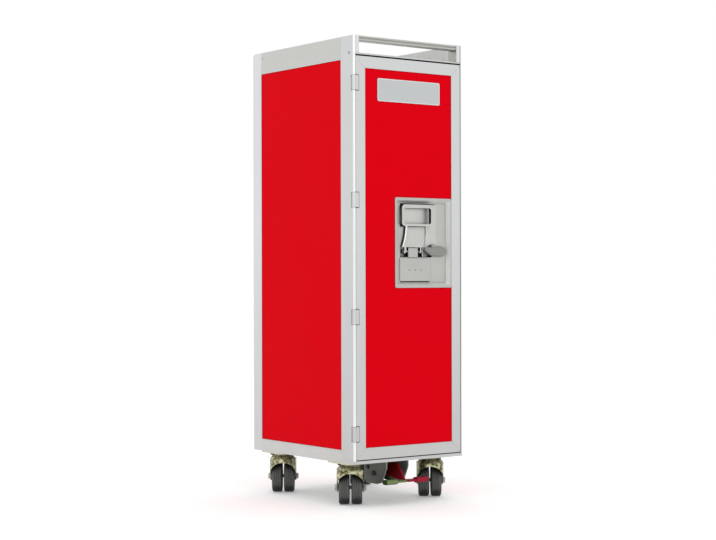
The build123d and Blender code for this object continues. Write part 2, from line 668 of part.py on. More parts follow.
# Door seal: four lengths of soft strip on the inner face, meeting the cabinet's front frame
with BuildPart() as door_seal:
    seal_front = DOOR_BACK
    seal_back = FRAME_FRONT - SEAL_CLEARANCE
    seal_low = FLOOR_TOP - SEAL_INSET - 2 * SEAL_WIDTH
    seal_high = CEILING + SEAL_INSET + 2 * SEAL_WIDTH
    seal_outer_x = SEAL_INNER_X + SEAL_WIDTH
    seal_end_x = SEAL_INNER_X - SEAL_CLEARANCE
    block((-seal_outer_x, seal_front, seal_low), (-SEAL_INNER_X, seal_back, seal_high))
    block((SEAL_INNER_X, seal_front, seal_low), (seal_outer_x, seal_back, seal_high))
    block((-seal_end_x, seal_front, seal_low), (seal_end_x, seal_back, seal_low + SEAL_WIDTH))
    block((-seal_end_x, seal_front, seal_high - SEAL_WIDTH), (seal_end_x, seal_back, seal_high))
save(door_seal.part, "door_seal")

# Hinge knuckles: a barrel on the pin and a leaf on the face of the door
with BuildPart() as hinge_knuckles:
    for level in KNUCKLE_LEVELS:
        with BuildSketch(Plane.XY.offset(level - KNUCKLE_HEIGHT / 2)):
            with Locations((HINGE_X, HINGE_Y)):
                Circle(KNUCKLE_RADIUS)
            with Locations((HINGE_X, FRONT)):
                Rectangle(LEAF_WIDTH, LEAF_THICKNESS, align=(Align.MIN, Align.MAX))
            with Locations((HINGE_X, HINGE_Y)):
                Circle(HINGE_PIN_RADIUS + RUNNING_FIT, mode=Mode.SUBTRACT)
        extrude(amount=KNUCKLE_HEIGHT)
save(hinge_knuckles.part, "hinge_knuckles")

# Latch pan: a pressed sheet with a flat rim, a tray with drawn-in walls under the lever, and a deeper well
# that follows the outline of the pull handle. Lugs in the well carry the handle's pin, and a cover plate
# lies below it.
PULL_ROW_START = WELL_LEFT + PULL_ROW_INSET
PULL_ROW_END = LEVER_TIP_X - PULL_LEVER_GAP
PULL_ROW_SCALE = (PULL_ROW_END - PULL_ROW_START) / sum(PULL_ROW_PARTS)
PULL_ROW = [PULL_ROW_START + PULL_ROW_SCALE * sum(PULL_ROW_PARTS[:i]) for i in range(len(PULL_ROW_PARTS) + 1)]
PULL_SPANS = list(zip(PULL_ROW, PULL_ROW[1:]))
PULL_KNUCKLES = PULL_SPANS[0::4]
PULL_LUGS = PULL_SPANS[2::4]
PLATE_BACK = PULL_PIN_Y - PULL_KNUCKLE_RADIUS + PULL_PLATE - PAN_SHEET
GRIP_LEFT = WELL_LEFT + GRIP_LEFT_GAP
GRIP_RIGHT = WELL_RIGHT - GRIP_RIGHT_GAP
GRIP_LOW_Z = GRIP_TOP_Z - GRIP_HEIGHT
NECK_LEFT = GRIP_LEFT + NECK_LEFT_INSET
NECK_RIGHT = GRIP_RIGHT - NECK_RIGHT_INSET
NECK_LOW_Z = PULL_PIN_Z + NECK_FOOT
DRAFT_LEFT = WELL_RIGHT - WELL_DRAFT
DRAFT_LOW_Z = SPINDLE_Z + BOLT_TAIL_HEIGHT / 2 + WORKS_CLEARANCE + PAN_SHEET
COVER_LEFT = PAN_LEFT + COVER_LEFT_MARGIN
COVER_RIGHT = PAN_RIGHT - COVER_RIGHT_MARGIN
COVER_BOTTOM_Z = PAN_BOTTOM_Z + COVER_BOTTOM_MARGIN
COVER_TOP_Z = WELL_BOTTOM_Z - COVER_WELL_GAP
PAN_CENTRE = ((PAN_LEFT + PAN_RIGHT) / 2, (PAN_BOTTOM_Z + PAN_TOP_Z) / 2)


def well_outline(grow):
    """Outline of the well, grown by a distance: a room for the grip over a narrower one for the neck."""
    shelf_z = GRIP_LOW_Z - GRIP_LEFT_GAP - grow
    left = WELL_LEFT - grow
    low = WELL_BOTTOM_Z - grow
    with BuildLine() as outline:
        flare = TangentArc((NECK_LEFT - GRIP_LEFT_GAP - grow, shelf_z), (left, NECK_LOW_Z), tangent=(0, -1))
        Polyline(
            flare @ 1,
            (left, low),
            (DRAFT_LEFT + grow, low),
            (DRAFT_LEFT + grow, DRAFT_LOW_Z - grow),
            (WELL_RIGHT + grow, DRAFT_LOW_Z - grow),
            (WELL_RIGHT + grow, WELL_TOP_Z + grow),
            (left, WELL_TOP_Z + grow),
            (left, shelf_z),
            flare @ 0,
        )
    return outline.edges()


with BuildPart() as latch_pan:
    with BuildSketch(front_plane(DOOR_PANEL_FACE)):
        with Locations(PAN_CENTRE):
            RectangleRounded(PAN_WIDTH, PAN_HEIGHT, PAN_CORNER)
    extrude(amount=PAN_SHEET)
    for y, inset in ((PAN_FACE, PAN_RIM), (PAN_TRAY_FLOOR, PAN_RIM + PAN_TRAY_DRAFT)):
        with BuildSketch(front_plane(y + PAN_SHEET)):
            with Locations(PAN_CENTRE):
                RectangleRounded(
                    PAN_WIDTH - 2 * (inset - PAN_SHEET),
                    PAN_HEIGHT - 2 * (inset - PAN_SHEET),
                    WELL_CORNER + PAN_SHEET,
                )
    loft(ruled=True)
    with BuildSketch(front_plane(PAN_WELL_FLOOR + PAN_SHEET)):
        make_face(well_outline(PAN_SHEET))
    extrude(amount=PAN_WELL_FLOOR + PAN_SHEET - DOOR_PANEL_FACE)
    for y, inset in ((PAN_FACE, PAN_RIM), (PAN_TRAY_FLOOR, PAN_RIM + PAN_TRAY_DRAFT)):
        with BuildSketch(front_plane(y)):
            with Locations(PAN_CENTRE):
                RectangleRounded(PAN_WIDTH - 2 * inset, PAN_HEIGHT - 2 * inset, WELL_CORNER)
    loft(ruled=True, mode=Mode.SUBTRACT)
    with BuildSketch(front_plane(PAN_WELL_FLOOR)):
        make_face(well_outline(0))
    extrude(amount=WELL_DEPTH, mode=Mode.SUBTRACT)
    with BuildSketch(Plane.XY.offset(DRAFT_LOW_Z)):
        with BuildLine():
            Polyline(
                (WELL_RIGHT, PAN_TRAY_FLOOR),
                (WELL_RIGHT, PAN_WELL_FLOOR),
                (DRAFT_LEFT, PAN_WELL_FLOOR),
                close=True,
            )
        make_face()
    extrude(amount=WELL_TOP_Z - DRAFT_LOW_Z)
    for left, right in PULL_LUGS:
        block((left, PLATE_BACK, WELL_BOTTOM_Z), (right, PAN_WELL_FLOOR, NECK_LOW_Z - PULL_LUG_GAP))
    with BuildSketch(Plane.YZ.offset(PULL_ROW_START)):
        with Locations((PULL_PIN_Y, PULL_PIN_Z)):
            Circle(PULL_PIN_RADIUS + PIN_FIT)
    extrude(amount=PULL_ROW_END - PULL_ROW_START, mode=Mode.SUBTRACT)
    with BuildSketch(front_plane(PAN_TRAY_FLOOR)):
        with Locations((SPINDLE_X, SPINDLE_Z)):
            Circle(SPINDLE_RADIUS + POCKET_CLEARANCE)
    extrude(amount=-PAN_SHEET, mode=Mode.SUBTRACT)
    with BuildSketch(front_plane(PAN_TRAY_FLOOR)):
        with Locations(((COVER_LEFT + COVER_RIGHT) / 2, (COVER_BOTTOM_Z + COVER_TOP_Z) / 2)):
            RectangleRounded(COVER_RIGHT - COVER_LEFT, COVER_TOP_Z - COVER_BOTTOM_Z, WELL_CORNER)
    extrude(amount=COVER_SHEET)
    block(
        (COVER_LEFT + COVER_SLOT_INSET, PAN_TRAY_FLOOR, COVER_BOTTOM_Z - COVER_SLOT),
        (COVER_RIGHT - COVER_SLOT_INSET, PAN_TRAY_FLOOR + PAN_SHEET, COVER_BOTTOM_Z),
        mode=Mode.SUBTRACT,
    )
save(latch_pan.part, "latch_pan")

# Pull-handle pin, held in the pan's lugs
with BuildPart() as pull_handle_pin:
    with BuildSketch(Plane.YZ.offset(PULL_ROW_START)):
        with Locations((PULL_PIN_Y, PULL_PIN_Z)):
            Circle(PULL_PIN_RADIUS)
    extrude(amount=PULL_ROW_END - PULL_ROW_START)
save(pull_handle_pin.part, "pull_handle_pin")

# Pull handle: a hollow grip on a flared neck with a folded edge, and two eyes on the pin. The foot of the
# neck is stepped so that it swings clear of the turn lever.
with BuildPart() as pull_handle:
    grip_width = GRIP_RIGHT - GRIP_LEFT
    grip_centre = ((GRIP_LEFT + GRIP_RIGHT) / 2, (GRIP_LOW_Z + GRIP_TOP_Z) / 2)
    grip_back = PAN_FACE + POCKET_CLEARANCE + GRIP_THICKNESS
    neck_top = GRIP_LOW_Z + GRIP_RAIL / 2
    step_z = NECK_LOW_Z + NECK_STEP
    with BuildSketch(front_plane(PLATE_BACK)):
        with BuildLine():
            flare = TangentArc((NECK_LEFT, neck_top), (WELL_LEFT + NECK_FLARE_GAP, NECK_LOW_Z), tangent=(0, -1))
            Polyline(
                flare @ 1,
                (PULL_ROW_END, NECK_LOW_Z),
                (PULL_ROW_END, step_z),
                (NECK_RIGHT, step_z),
                (NECK_RIGHT, neck_top),
                flare @ 0,
            )
        make_face()
    extrude(amount=PULL_PLATE)
    block(
        (NECK_RIGHT - NECK_FOLD_WIDTH, PLATE_BACK - PULL_PLATE - NECK_FOLD, step_z),
        (NECK_RIGHT, PLATE_BACK, neck_top),
    )
    with BuildSketch(front_plane(grip_back)):
        with Locations(grip_centre):
            RectangleRounded(grip_width, GRIP_HEIGHT, GRIP_CORNER)
    extrude(amount=GRIP_THICKNESS)
    with BuildSketch(front_plane(grip_back)):
        with Locations(grip_centre):
            RectangleRounded(grip_width - 2 * GRIP_RAIL, GRIP_HEIGHT - 2 * GRIP_RAIL, GRIP_CORNER / 2)
    extrude(amount=GRIP_THICKNESS, mode=Mode.SUBTRACT)
    for left, right in PULL_KNUCKLES:
        block((left, PLATE_BACK - PULL_PLATE, PULL_PIN_Z), (right, PLATE_BACK, NECK_LOW_Z))
        with BuildSketch(Plane.YZ.offset(left)):
            with Locations((PULL_PIN_Y, PULL_PIN_Z)):
                Circle(PULL_KNUCKLE_RADIUS)
        extrude(amount=right - left)
    with BuildSketch(Plane.YZ.offset(PULL_ROW_START)):
        with Locations((PULL_PIN_Y, PULL_PIN_Z)):
            Circle(PULL_PIN_RADIUS + RUNNING_FIT)
    extrude(amount=PULL_ROW_END - PULL_ROW_START, mode=Mode.SUBTRACT)
save(pull_handle.part, "pull_handle")

# Turn lever: the flat lever, its spindle through the tray floor, and the crank that throws the bolt
with BuildPart() as turn_lever:
    with BuildSketch(front_plane(LEVER_BACK)):
        with Locations((SPINDLE_X, SPINDLE_Z)):
            Circle(LEVER_BOSS_RADIUS)
        with Locations((SPINDLE_X - LEVER_SHOULDER_REACH, SPINDLE_Z)):
            Circle(LEVER_SHOULDER_RADIUS)
        with Locations((SPINDLE_X - LEVER_REACH, SPINDLE_Z + LEVER_TIP_RISE)):
            Circle(LEVER_TIP_RADIUS)
        make_hull()
    extrude(amount=LEVER_THICKNESS)
    with BuildSketch(front_plane(CRANK_FRONT)):
        with Locations((SPINDLE_X, SPINDLE_Z)):
            Circle(SPINDLE_RADIUS)
    extrude(amount=CRANK_FRONT - LEVER_BACK)
    with BuildSketch(front_plane(CRANK_BACK)):
        with Locations((SPINDLE_X, SPINDLE_Z)):
            Circle(CRANK_RADIUS)
    extrude(amount=CRANK_THICKNESS)
    with BuildSketch(front_plane(BOLT_BACK)):
        with Locations((SLOT_X, SPINDLE_Z - CRANK_SIDE)):
            Circle(CRANK_PIN_RADIUS)
    extrude(amount=BOLT_BACK - CRANK_BACK)
save(turn_lever.part, "turn_lever")

# Latch bolt: a flat bar with a slotted tail that the crank pin slides in
with BuildPart() as latch_bolt:
    tail_left = SLOT_X - BOLT_TAIL_LENGTH / 2
    tail_half = BOLT_TAIL_HEIGHT / 2
    slot_half = CRANK_PIN_RADIUS + CRANK_SLOT_CLEARANCE
    block(
        (tail_left, BOLT_FRONT, SPINDLE_Z - tail_half),
        (tail_left + BOLT_TAIL_LENGTH, BOLT_BACK, SPINDLE_Z + tail_half),
    )
    block(
        (tail_left, BOLT_FRONT, SPINDLE_Z - BOLT_HEIGHT / 2),
        (BOLT_TIP_X, BOLT_BACK, SPINDLE_Z + BOLT_HEIGHT / 2),
    )
    block(
        (SLOT_X - slot_half, BOLT_FRONT, SPINDLE_Z - CRANK_THROW - slot_half),
        (SLOT_X + slot_half, BOLT_BACK, SPINDLE_Z - CRANK_SIDE + slot_half),
        mode=Mode.SUBTRACT,
    )
save(latch_bolt.part, "latch_bolt")

# Pedal bracket: two shaped cheeks, the plate that bolts to the base and the rear web with its rocker pin
CHEEK_OUTER = CHEEK_SPREAD / 2
CHEEK_INNER = CHEEK_OUTER - CHEEK_SHEET
ROCKER_Y = PEDAL_SHAFT_Y + TAIL_REACH
ROCKER_LOW = PEDAL_SHAFT_Z + TAIL_RISE + ROCKER_GAP
ROCKER_Z = ROCKER_LOW + ROCKER_HEIGHT / 2
ROCKER_BACK = ROCKER_Y + ROCKER_DEPTH / 2
with BuildPart() as pedal_bracket:
    with BuildSketch(Plane.YZ.offset(-CHEEK_OUTER)):
        with BuildLine():
            Polyline(
                (CHEEK_FRONT_Y, BASE_Z),
                (CHEEK_FRONT_Y, BASE_Z - CHEEK_NOSE_DROP),
                (CHEEK_FRONT_Y + CHEEK_TOE_SETBACK, CHEEK_LOW_Z + CHEEK_TOE_RISE),
                (CHEEK_FRONT_Y + CHEEK_SOLE_SETBACK, CHEEK_LOW_Z),
                (CHEEK_BACK_Y - CHEEK_HEEL_LENGTH, CHEEK_LOW_Z),
                (CHEEK_BACK_Y, CHEEK_LOW_Z + CHEEK_HEEL_RISE),
                (CHEEK_BACK_Y, BASE_Z),
                close=True,
            )
        make_face()
    extrude(amount=CHEEK_SPREAD)
    block(
        (-CHEEK_INNER, CHEEK_FRONT_Y, CHEEK_LOW_Z),
        (CHEEK_INNER, CHEEK_BACK_Y - CHEEK_SHEET, BASE_Z - CHEEK_SHEET),
        mode=Mode.SUBTRACT,
    )
    with BuildSketch(front_plane(CHEEK_BACK_Y)):
        with Locations((0, ROCKER_Z)):
            Circle(2 * ROCKER_PIN_RADIUS)
    extrude(amount=CHEEK_BACK_Y - ROCKER_BACK - ROCKER_GAP)
    with BuildSketch(front_plane(CHEEK_BACK_Y)):
        with Locations((0, ROCKER_Z)):
            Circle(ROCKER_PIN_RADIUS)
    extrude(amount=CHEEK_BACK_Y - ROCKER_Y + ROCKER_DEPTH / 2)
    with BuildSketch(Plane.YZ.offset(-CHEEK_OUTER)):
        with Locations((PEDAL_SHAFT_Y, PEDAL_SHAFT_Z)):
            Circle(PEDAL_SHAFT_RADIUS + PIN_FIT)
    extrude(amount=CHEEK_SPREAD, mode=Mode.SUBTRACT)
save(pedal_bracket.part, "pedal_bracket")

# Pedal shaft, headed at both ends
with BuildPart() as pedal_shaft:
    with BuildSketch(Plane.YZ.offset(-CHEEK_OUTER)):
        with Locations((PEDAL_SHAFT_Y, PEDAL_SHAFT_Z)):
            Circle(PEDAL_SHAFT_RADIUS)
    extrude(amount=CHEEK_SPREAD)
    for side in (-1, 1):
        with BuildSketch(Plane.YZ.offset(side * CHEEK_OUTER)):
            with Locations((PEDAL_SHAFT_Y, PEDAL_SHAFT_Z)):
                Circle(SHAFT_HEAD_RADIUS)
        extrude(amount=side * SHAFT_HEAD)
save(pedal_shaft.part, "pedal_shaft")


def pedal(side, web_inset, crest=()):
    """A brake pedal: hub on the shaft, web, tread bar with a thicker pad, and the tail for the rocker.
    The crest is any further points on the top edge of the web."""
    hub_length = CHEEK_INNER - 2 * PEDAL_GAP
    web_half = PEDAL_WEB_ROOT / 2
    tread_back = TREAD_FRONT_Y + TREAD_DEPTH
    tread_y = TREAD_FRONT_Y + TREAD_DEPTH / 2
    with BuildPart() as piece:
        with BuildSketch(Plane.YZ.offset(side * PEDAL_GAP)):
            with Locations((PEDAL_SHAFT_Y, PEDAL_SHAFT_Z)):
                Circle(PEDAL_HUB_RADIUS)
        extrude(amount=side * hub_length)
        with BuildSketch(Plane.YZ.offset(side * web_inset)):
            with BuildLine():
                Polyline(
                    (PEDAL_SHAFT_Y, PEDAL_SHAFT_Z + web_half),
                    *crest,
                    (tread_back, TREAD_Z + TREAD_BAR / 2),
                    (tread_back, TREAD_Z - TREAD_BAR / 2),
                    (PEDAL_SHAFT_Y, PEDAL_SHAFT_Z - web_half),
                    close=True,
                )
            make_face()
        extrude(amount=side * PEDAL_WEB)
        with BuildSketch(Plane.YZ.offset(side * 2 * PEDAL_GAP)):
            with Locations((tread_y, TREAD_Z)):
                RectangleRounded(TREAD_DEPTH, TREAD_BAR, TREAD_BAR_ROUND)
        extrude(amount=side * (TREAD_REACH - 2 * PEDAL_GAP))
        with BuildSketch(Plane.YZ.offset(side * TREAD_REACH)):
            with Locations((tread_y, TREAD_Z)):
                RectangleRounded(TREAD_DEPTH, TREAD_PAD, TREAD_PAD_ROUND)
        extrude(amount=-side * TREAD_PAD_WIDTH)
        with BuildSketch(Plane.YZ.offset(side * (ROCKER_ARM - TAIL_WIDTH / 2))):
            with Locations((PEDAL_SHAFT_Y, PEDAL_SHAFT_Z + TAIL_RISE)):
                Rectangle(
                    TAIL_REACH + ROCKER_DEPTH / 2,
                    PEDAL_HUB_RADIUS,
                    align=(Align.MIN, Align.MAX),
                )
        extrude(amount=side * TAIL_WIDTH)
        with BuildSketch(Plane.YZ.offset(side * PEDAL_GAP)):
            with Locations((PEDAL_SHAFT_Y, PEDAL_SHAFT_Z)):
                Circle(PEDAL_SHAFT_RADIUS + RUNNING_FIT)
        extrude(amount=side * hub_length, mode=Mode.SUBTRACT)
    return piece.part


CREST = [(PEDAL_SHAFT_Y - setback, PEDAL_SHAFT_Z + RED_CREST) for setback in (CREST_BACK, CREST_FRONT)]
save(pedal(1, RED_WEB_INSET, CREST), "red_pedal")
save(pedal(-1, GREEN_WEB_INSET), "green_pedal")

# Brake rocker: a see-saw on the tails of the two pedals, so that one rises as the other is pressed
with BuildPart() as brake_rocker:
    with BuildSketch(front_plane(ROCKER_BACK)):
        with Locations((0, ROCKER_Z)):
            SlotOverall(2 * ROCKER_ARM + ROCKER_HEIGHT, ROCKER_HEIGHT)
            Circle(ROCKER_PIN_RADIUS + RUNNING_FIT, mode=Mode.SUBTRACT)
    extrude(amount=ROCKER_DEPTH)
save(brake_rocker.part, "brake_rocker")

# Caster plates: bolted plate, upper race and kingpin with its nut, one solid at each corner
with BuildPart() as caster_plates:
    plate_bottom = BASE_Z - CASTER_PLATE
    nut_top = CROWN_BOTTOM - FORK_SIDE_GAP
    nut_bottom = nut_top - KINGPIN_NUT_HEIGHT
    with BuildSketch(Plane.XY.offset(plate_bottom)):
        with Locations(*CASTERS.values()):
            RectangleRounded(CASTER_PLATE_WIDTH, CASTER_PLATE_LENGTH, CASTER_PLATE_CORNER)
    extrude(amount=CASTER_PLATE)
    with BuildSketch(Plane.XY.offset(RACE_BOTTOM)):
        with Locations(*CASTERS.values()):
            Circle(RACE_RADIUS)
    extrude(amount=RACE_HEIGHT)
    with BuildSketch(Plane.XY.offset(nut_bottom)):
        with Locations(*CASTERS.values()):
            Circle(KINGPIN_RADIUS)
    extrude(amount=RACE_BOTTOM - nut_bottom)
    with BuildSketch(Plane.XY.offset(nut_bottom)):
        with Locations(*CASTERS.values()):
            RegularPolygon(KINGPIN_NUT_RADIUS, 6)
    extrude(amount=KINGPIN_NUT_HEIGHT)
save(caster_plates.part, "caster_plates")

# Caster pieces are modelled on their swivel axis, the axle along X and the trail along +Y
AXLE_AT = (CASTER_TRAIL, WHEEL_RADIUS)
AXLE_PLANE = Plane(origin=(0, CASTER_TRAIL, WHEEL_RADIUS), x_dir=(1, 0, 0), z_dir=(0, -1, 0))
AXLE_LINE = Axis((0, CASTER_TRAIL, WHEEL_RADIUS), (1, 0, 0))

# Fork: a stepped crown below the race, with an arched skirt in front and two legs to the axle
with BuildPart() as fork:
    leg_top = FORK_ROOF + FORK_SHEET
    with BuildSketch(Plane.YZ):
        with BuildLine():
            Polyline(
                (-FORK_OUTER, leg_top),
                (-FORK_OUTER, FORK_SKIRT_Z),
                (0, FORK_KNEE_Z),
                (CASTER_TRAIL - FORK_BOSS_RADIUS, WHEEL_RADIUS),
                (CASTER_TRAIL + FORK_BOSS_RADIUS, WHEEL_RADIUS),
                (CASTER_TRAIL + FORK_BOSS_RADIUS, leg_top),
                close=True,
            )
        make_face()
        with Locations(AXLE_AT):
            Circle(FORK_BOSS_RADIUS)
    extrude(amount=FORK_OUTER, both=True)
    with BuildSketch(Plane.XY):
        Circle(FORK_OUTER)
        Rectangle(2 * FORK_OUTER, CASTER_TRAIL + FORK_BOSS_RADIUS, align=(Align.CENTER, Align.MIN))
    extrude(amount=CROWN_TOP, mode=Mode.INTERSECT)
    with BuildSketch(Plane.XZ):
        with BuildLine():
            Polyline(
                (0, CROWN_TOP),
                (CROWN_RADIUS, CROWN_TOP),
                (CROWN_RADIUS, CROWN_TOP - CROWN_RING),
                (FORK_OUTER, leg_top),
                (0, leg_top),
                close=True,
            )
        make_face()
    revolve(axis=Axis.Z)
    with BuildSketch(Plane.XY):
        Circle(FORK_INNER)
        Rectangle(2 * FORK_INNER, CASTER_TRAIL + FORK_BOSS_RADIUS, align=(Align.CENTER, Align.MIN))
    extrude(amount=FORK_ROOF, mode=Mode.SUBTRACT)
    with BuildSketch(Plane.XY.offset(FORK_ROOF)):
        Circle(CROWN_RADIUS - FORK_SHEET)
    extrude(amount=CROWN_BOTTOM - FORK_ROOF, mode=Mode.SUBTRACT)
    with BuildSketch(Plane.XZ):
        with Locations((0, FORK_ARCH_RISE - FORK_OUTER)):
            Circle(FORK_OUTER)
    extrude(amount=FORK_OUTER, mode=Mode.SUBTRACT)
    with BuildSketch(Plane.XY.offset(CROWN_BOTTOM)):
        Circle(KINGPIN_RADIUS + RUNNING_FIT)
    extrude(amount=CROWN_WEB, mode=Mode.SUBTRACT)
    with BuildSketch(Plane.YZ):
        with Locations(AXLE_AT):
            Circle(AXLE_RADIUS + PIN_FIT)
    extrude(amount=FORK_OUTER, both=True, mode=Mode.SUBTRACT)

# Axle: a through bolt with a hexagon at each end
with BuildPart() as axle:
    with BuildSketch(Plane.YZ):
        with Locations(AXLE_AT):
            Circle(AXLE_RADIUS)
    extrude(amount=FORK_OUTER, both=True)
    for side in (-1, 1):
        with BuildSketch(Plane.YZ.offset(side * FORK_OUTER)):
            with Locations(AXLE_AT):
                RegularPolygon(AXLE_HEX / 2, 6, major_radius=False)
        extrude(amount=side * AXLE_HEAD)

# Hub: a moulded disc with a boss on the axle, dished on its outer face
WHEEL_NEAR = WHEEL_SPACING / 2
WHEEL_FAR = WHEEL_NEAR + WHEEL_WIDTH
with BuildPart() as hub:
    with BuildSketch(AXLE_PLANE):
        with BuildLine():
            Polyline(
                (WHEEL_NEAR, AXLE_RADIUS + RUNNING_FIT),
                (WHEEL_NEAR, TYRE_BORE_RADIUS),
                (WHEEL_FAR, TYRE_BORE_RADIUS),
                (WHEEL_FAR, TYRE_BORE_RADIUS - HUB_RIM),
                (WHEEL_FAR - HUB_DISH, TYRE_BORE_RADIUS - HUB_RIM),
                (WHEEL_FAR - HUB_DISH, HUB_BOSS_RADIUS),
                (WHEEL_FAR + HUB_PROUD, HUB_BOSS_RADIUS),
                (WHEEL_FAR + HUB_PROUD, AXLE_RADIUS + RUNNING_FIT),
                close=True,
            )
        make_face()
    revolve(axis=AXLE_LINE)

# Tyre: a solid ring with a flat tread and bevelled shoulders
with BuildPart() as tyre:
    with BuildSketch(AXLE_PLANE):
        with BuildLine():
            Polyline(
                (WHEEL_NEAR, TYRE_BORE_RADIUS),
                (WHEEL_NEAR, WHEEL_RADIUS - TYRE_SHOULDER),
                (WHEEL_NEAR + TYRE_SHOULDER, WHEEL_RADIUS),
                (WHEEL_FAR - TYRE_SHOULDER, WHEEL_RADIUS),
                (WHEEL_FAR, WHEEL_RADIUS - TYRE_SHOULDER),
                (WHEEL_FAR, TYRE_BORE_RADIUS),
                close=True,
            )
        make_face()
    revolve(axis=AXLE_LINE)


def standing(part, corner):
    """A caster piece set at its corner and turned as it stands."""
    x, y = CASTERS[corner]
    with BuildPart() as piece:
        with Locations(Location((x, y, 0), (0, 0, -CASTER_TURN))):
            add(part)
    return piece.part


for corner in CASTERS:
    save(standing(fork.part, corner), f"fork_{corner}")
    save(standing(axle.part, corner), f"axle_{corner}")
    save(standing(hub.part, corner), f"hub_{corner}_outer")
    save(standing(tyre.part, corner), f"tyre_{corner}_outer")
    save(standing(mirrored(hub.part), corner), f"hub_{corner}_inner")
    save(standing(mirrored(tyre.part), corner), f"tyre_{corner}_inner")
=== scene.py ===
import json
from math import atan2, cos, pi, radians, sin, tau

import bmesh
import bpy
from mathutils import Matrix, Vector

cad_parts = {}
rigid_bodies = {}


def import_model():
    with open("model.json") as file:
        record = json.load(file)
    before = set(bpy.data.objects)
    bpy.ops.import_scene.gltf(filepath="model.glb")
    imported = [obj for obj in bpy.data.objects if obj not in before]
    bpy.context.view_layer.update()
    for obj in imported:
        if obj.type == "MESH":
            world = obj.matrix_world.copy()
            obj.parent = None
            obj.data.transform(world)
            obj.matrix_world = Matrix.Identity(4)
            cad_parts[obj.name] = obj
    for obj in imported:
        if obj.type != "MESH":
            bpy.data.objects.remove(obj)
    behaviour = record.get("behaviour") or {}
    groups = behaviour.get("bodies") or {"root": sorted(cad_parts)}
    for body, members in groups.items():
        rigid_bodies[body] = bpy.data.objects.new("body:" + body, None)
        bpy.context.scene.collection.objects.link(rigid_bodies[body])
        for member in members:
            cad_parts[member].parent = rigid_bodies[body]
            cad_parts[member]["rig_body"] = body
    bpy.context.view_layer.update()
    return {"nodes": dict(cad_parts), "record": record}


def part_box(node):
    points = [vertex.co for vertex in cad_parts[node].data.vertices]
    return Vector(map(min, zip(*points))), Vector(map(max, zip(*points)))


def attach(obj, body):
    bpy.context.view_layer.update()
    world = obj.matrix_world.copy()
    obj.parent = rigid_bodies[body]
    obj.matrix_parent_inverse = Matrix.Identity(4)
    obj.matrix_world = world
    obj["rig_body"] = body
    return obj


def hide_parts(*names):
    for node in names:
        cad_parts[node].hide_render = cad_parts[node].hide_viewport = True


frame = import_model()

# Cabinet frame: aluminium posts and rails, drawn through a die and anodised to a pale satin grey, then
# screwed together at the corners. Deburring leaves each edge with a small round.
MM = 0.001
nodes = frame["nodes"]
scene = bpy.context.scene


def linear(colour):
    """Linear RGBA of an sRGB hex colour."""
    channels = [int(colour[i:i + 2], 16) / 255 for i in (1, 3, 5)]
    return [c / 12.92 if c <= 0.04045 else ((c + 0.055) / 1.055) ** 2.4 for c in channels] + [1.0]


def add_node(material, kind, inputs=None, **settings):
    """Add a node: settings are its properties, inputs are socket values or the sockets that feed it."""
    node = material.node_tree.nodes.new(kind)
    for name, value in settings.items():
        setattr(node, name, value)
    for name, value in (inputs or {}).items():
        if isinstance(value, bpy.types.NodeSocket):
            material.node_tree.links.new(value, node.inputs[name])
        else:
            node.inputs[name].default_value = value
    return node


def new_material(name):
    """An empty node material."""
    material = bpy.data.materials.new(name)
    material.use_nodes = True
    material.node_tree.nodes.clear()
    return material


def finish_material(material, **sockets):
    """Close a material with its shader: constants go on the shader's sockets, patterns feed them."""
    inputs = {name.replace("_", " "): value for name, value in sockets.items()}
    shader = add_node(material, "ShaderNodeBsdfPrincipled", inputs)
    add_node(material, "ShaderNodeOutputMaterial", {"Surface": shader.outputs["BSDF"]})
    return material


def per_metre(size_mm):
    """Texture scale of a pattern whose features are this many millimetres apart."""
    return 1 / (size_mm * MM)


COLOUR_A, COLOUR_B, COLOUR_OUT = 6, 7, 2        # a Mix node's sockets for colours
NOISE_LOW, NOISE_HIGH = 0.3, 0.7                # most of a noise lies between these values
GAPS_ONLY = (0.12, 0.5)        # how open a place is where the painted shade is darkest, and where it ends
GAPS_AND_CORNERS = (0.3, 0.85)


def with_painted_shade(material, tone, reach_mm, shade_colour="#3a3b38", openness=GAPS_ONLY):
    """A colour that goes over to painted shade in gaps, and in corners too if asked, that the reach spans."""
    corners = add_node(material, "ShaderNodeAmbientOcclusion", {"Distance": reach_mm * MM}, samples=8)
    unshaded = add_node(
        material,
        "ShaderNodeMapRange",
        {"Value": corners.outputs["AO"], "From Min": openness[0], "From Max": openness[1]},
    )
    layer = add_node(
        material,
        "ShaderNodeMix",
        {"Factor": unshaded.outputs["Result"], COLOUR_A: linear(shade_colour), COLOUR_B: tone},
        data_type="RGBA",
    )
    return layer.outputs[COLOUR_OUT]


# Anodised aluminium: a metal with a fine matt skin. The eye gets a soft grey sheen, faint die lines along
# the extrusion and slow changes of gloss where hands have been. Painted shade darkens it towards the foot,
# and in its gaps and corners.
FRAME_SHADE_MM = 6.0
DIE_LINE_MM = 1.5        # real die lines are finer: drawn this coarse so that they show
DIE_LINE_LENGTH_MM = 600.0
DIE_LINE_DEPTH_MM = 0.05
HANDLING_MM = 70.0
FOOT_SHADE = "#85857f"
FOOT_SHADE_SHARE = 0.25
FOOT_SHADE_DARKEST_MM = 130.0
FOOT_SHADE_ENDS_MM = 620.0


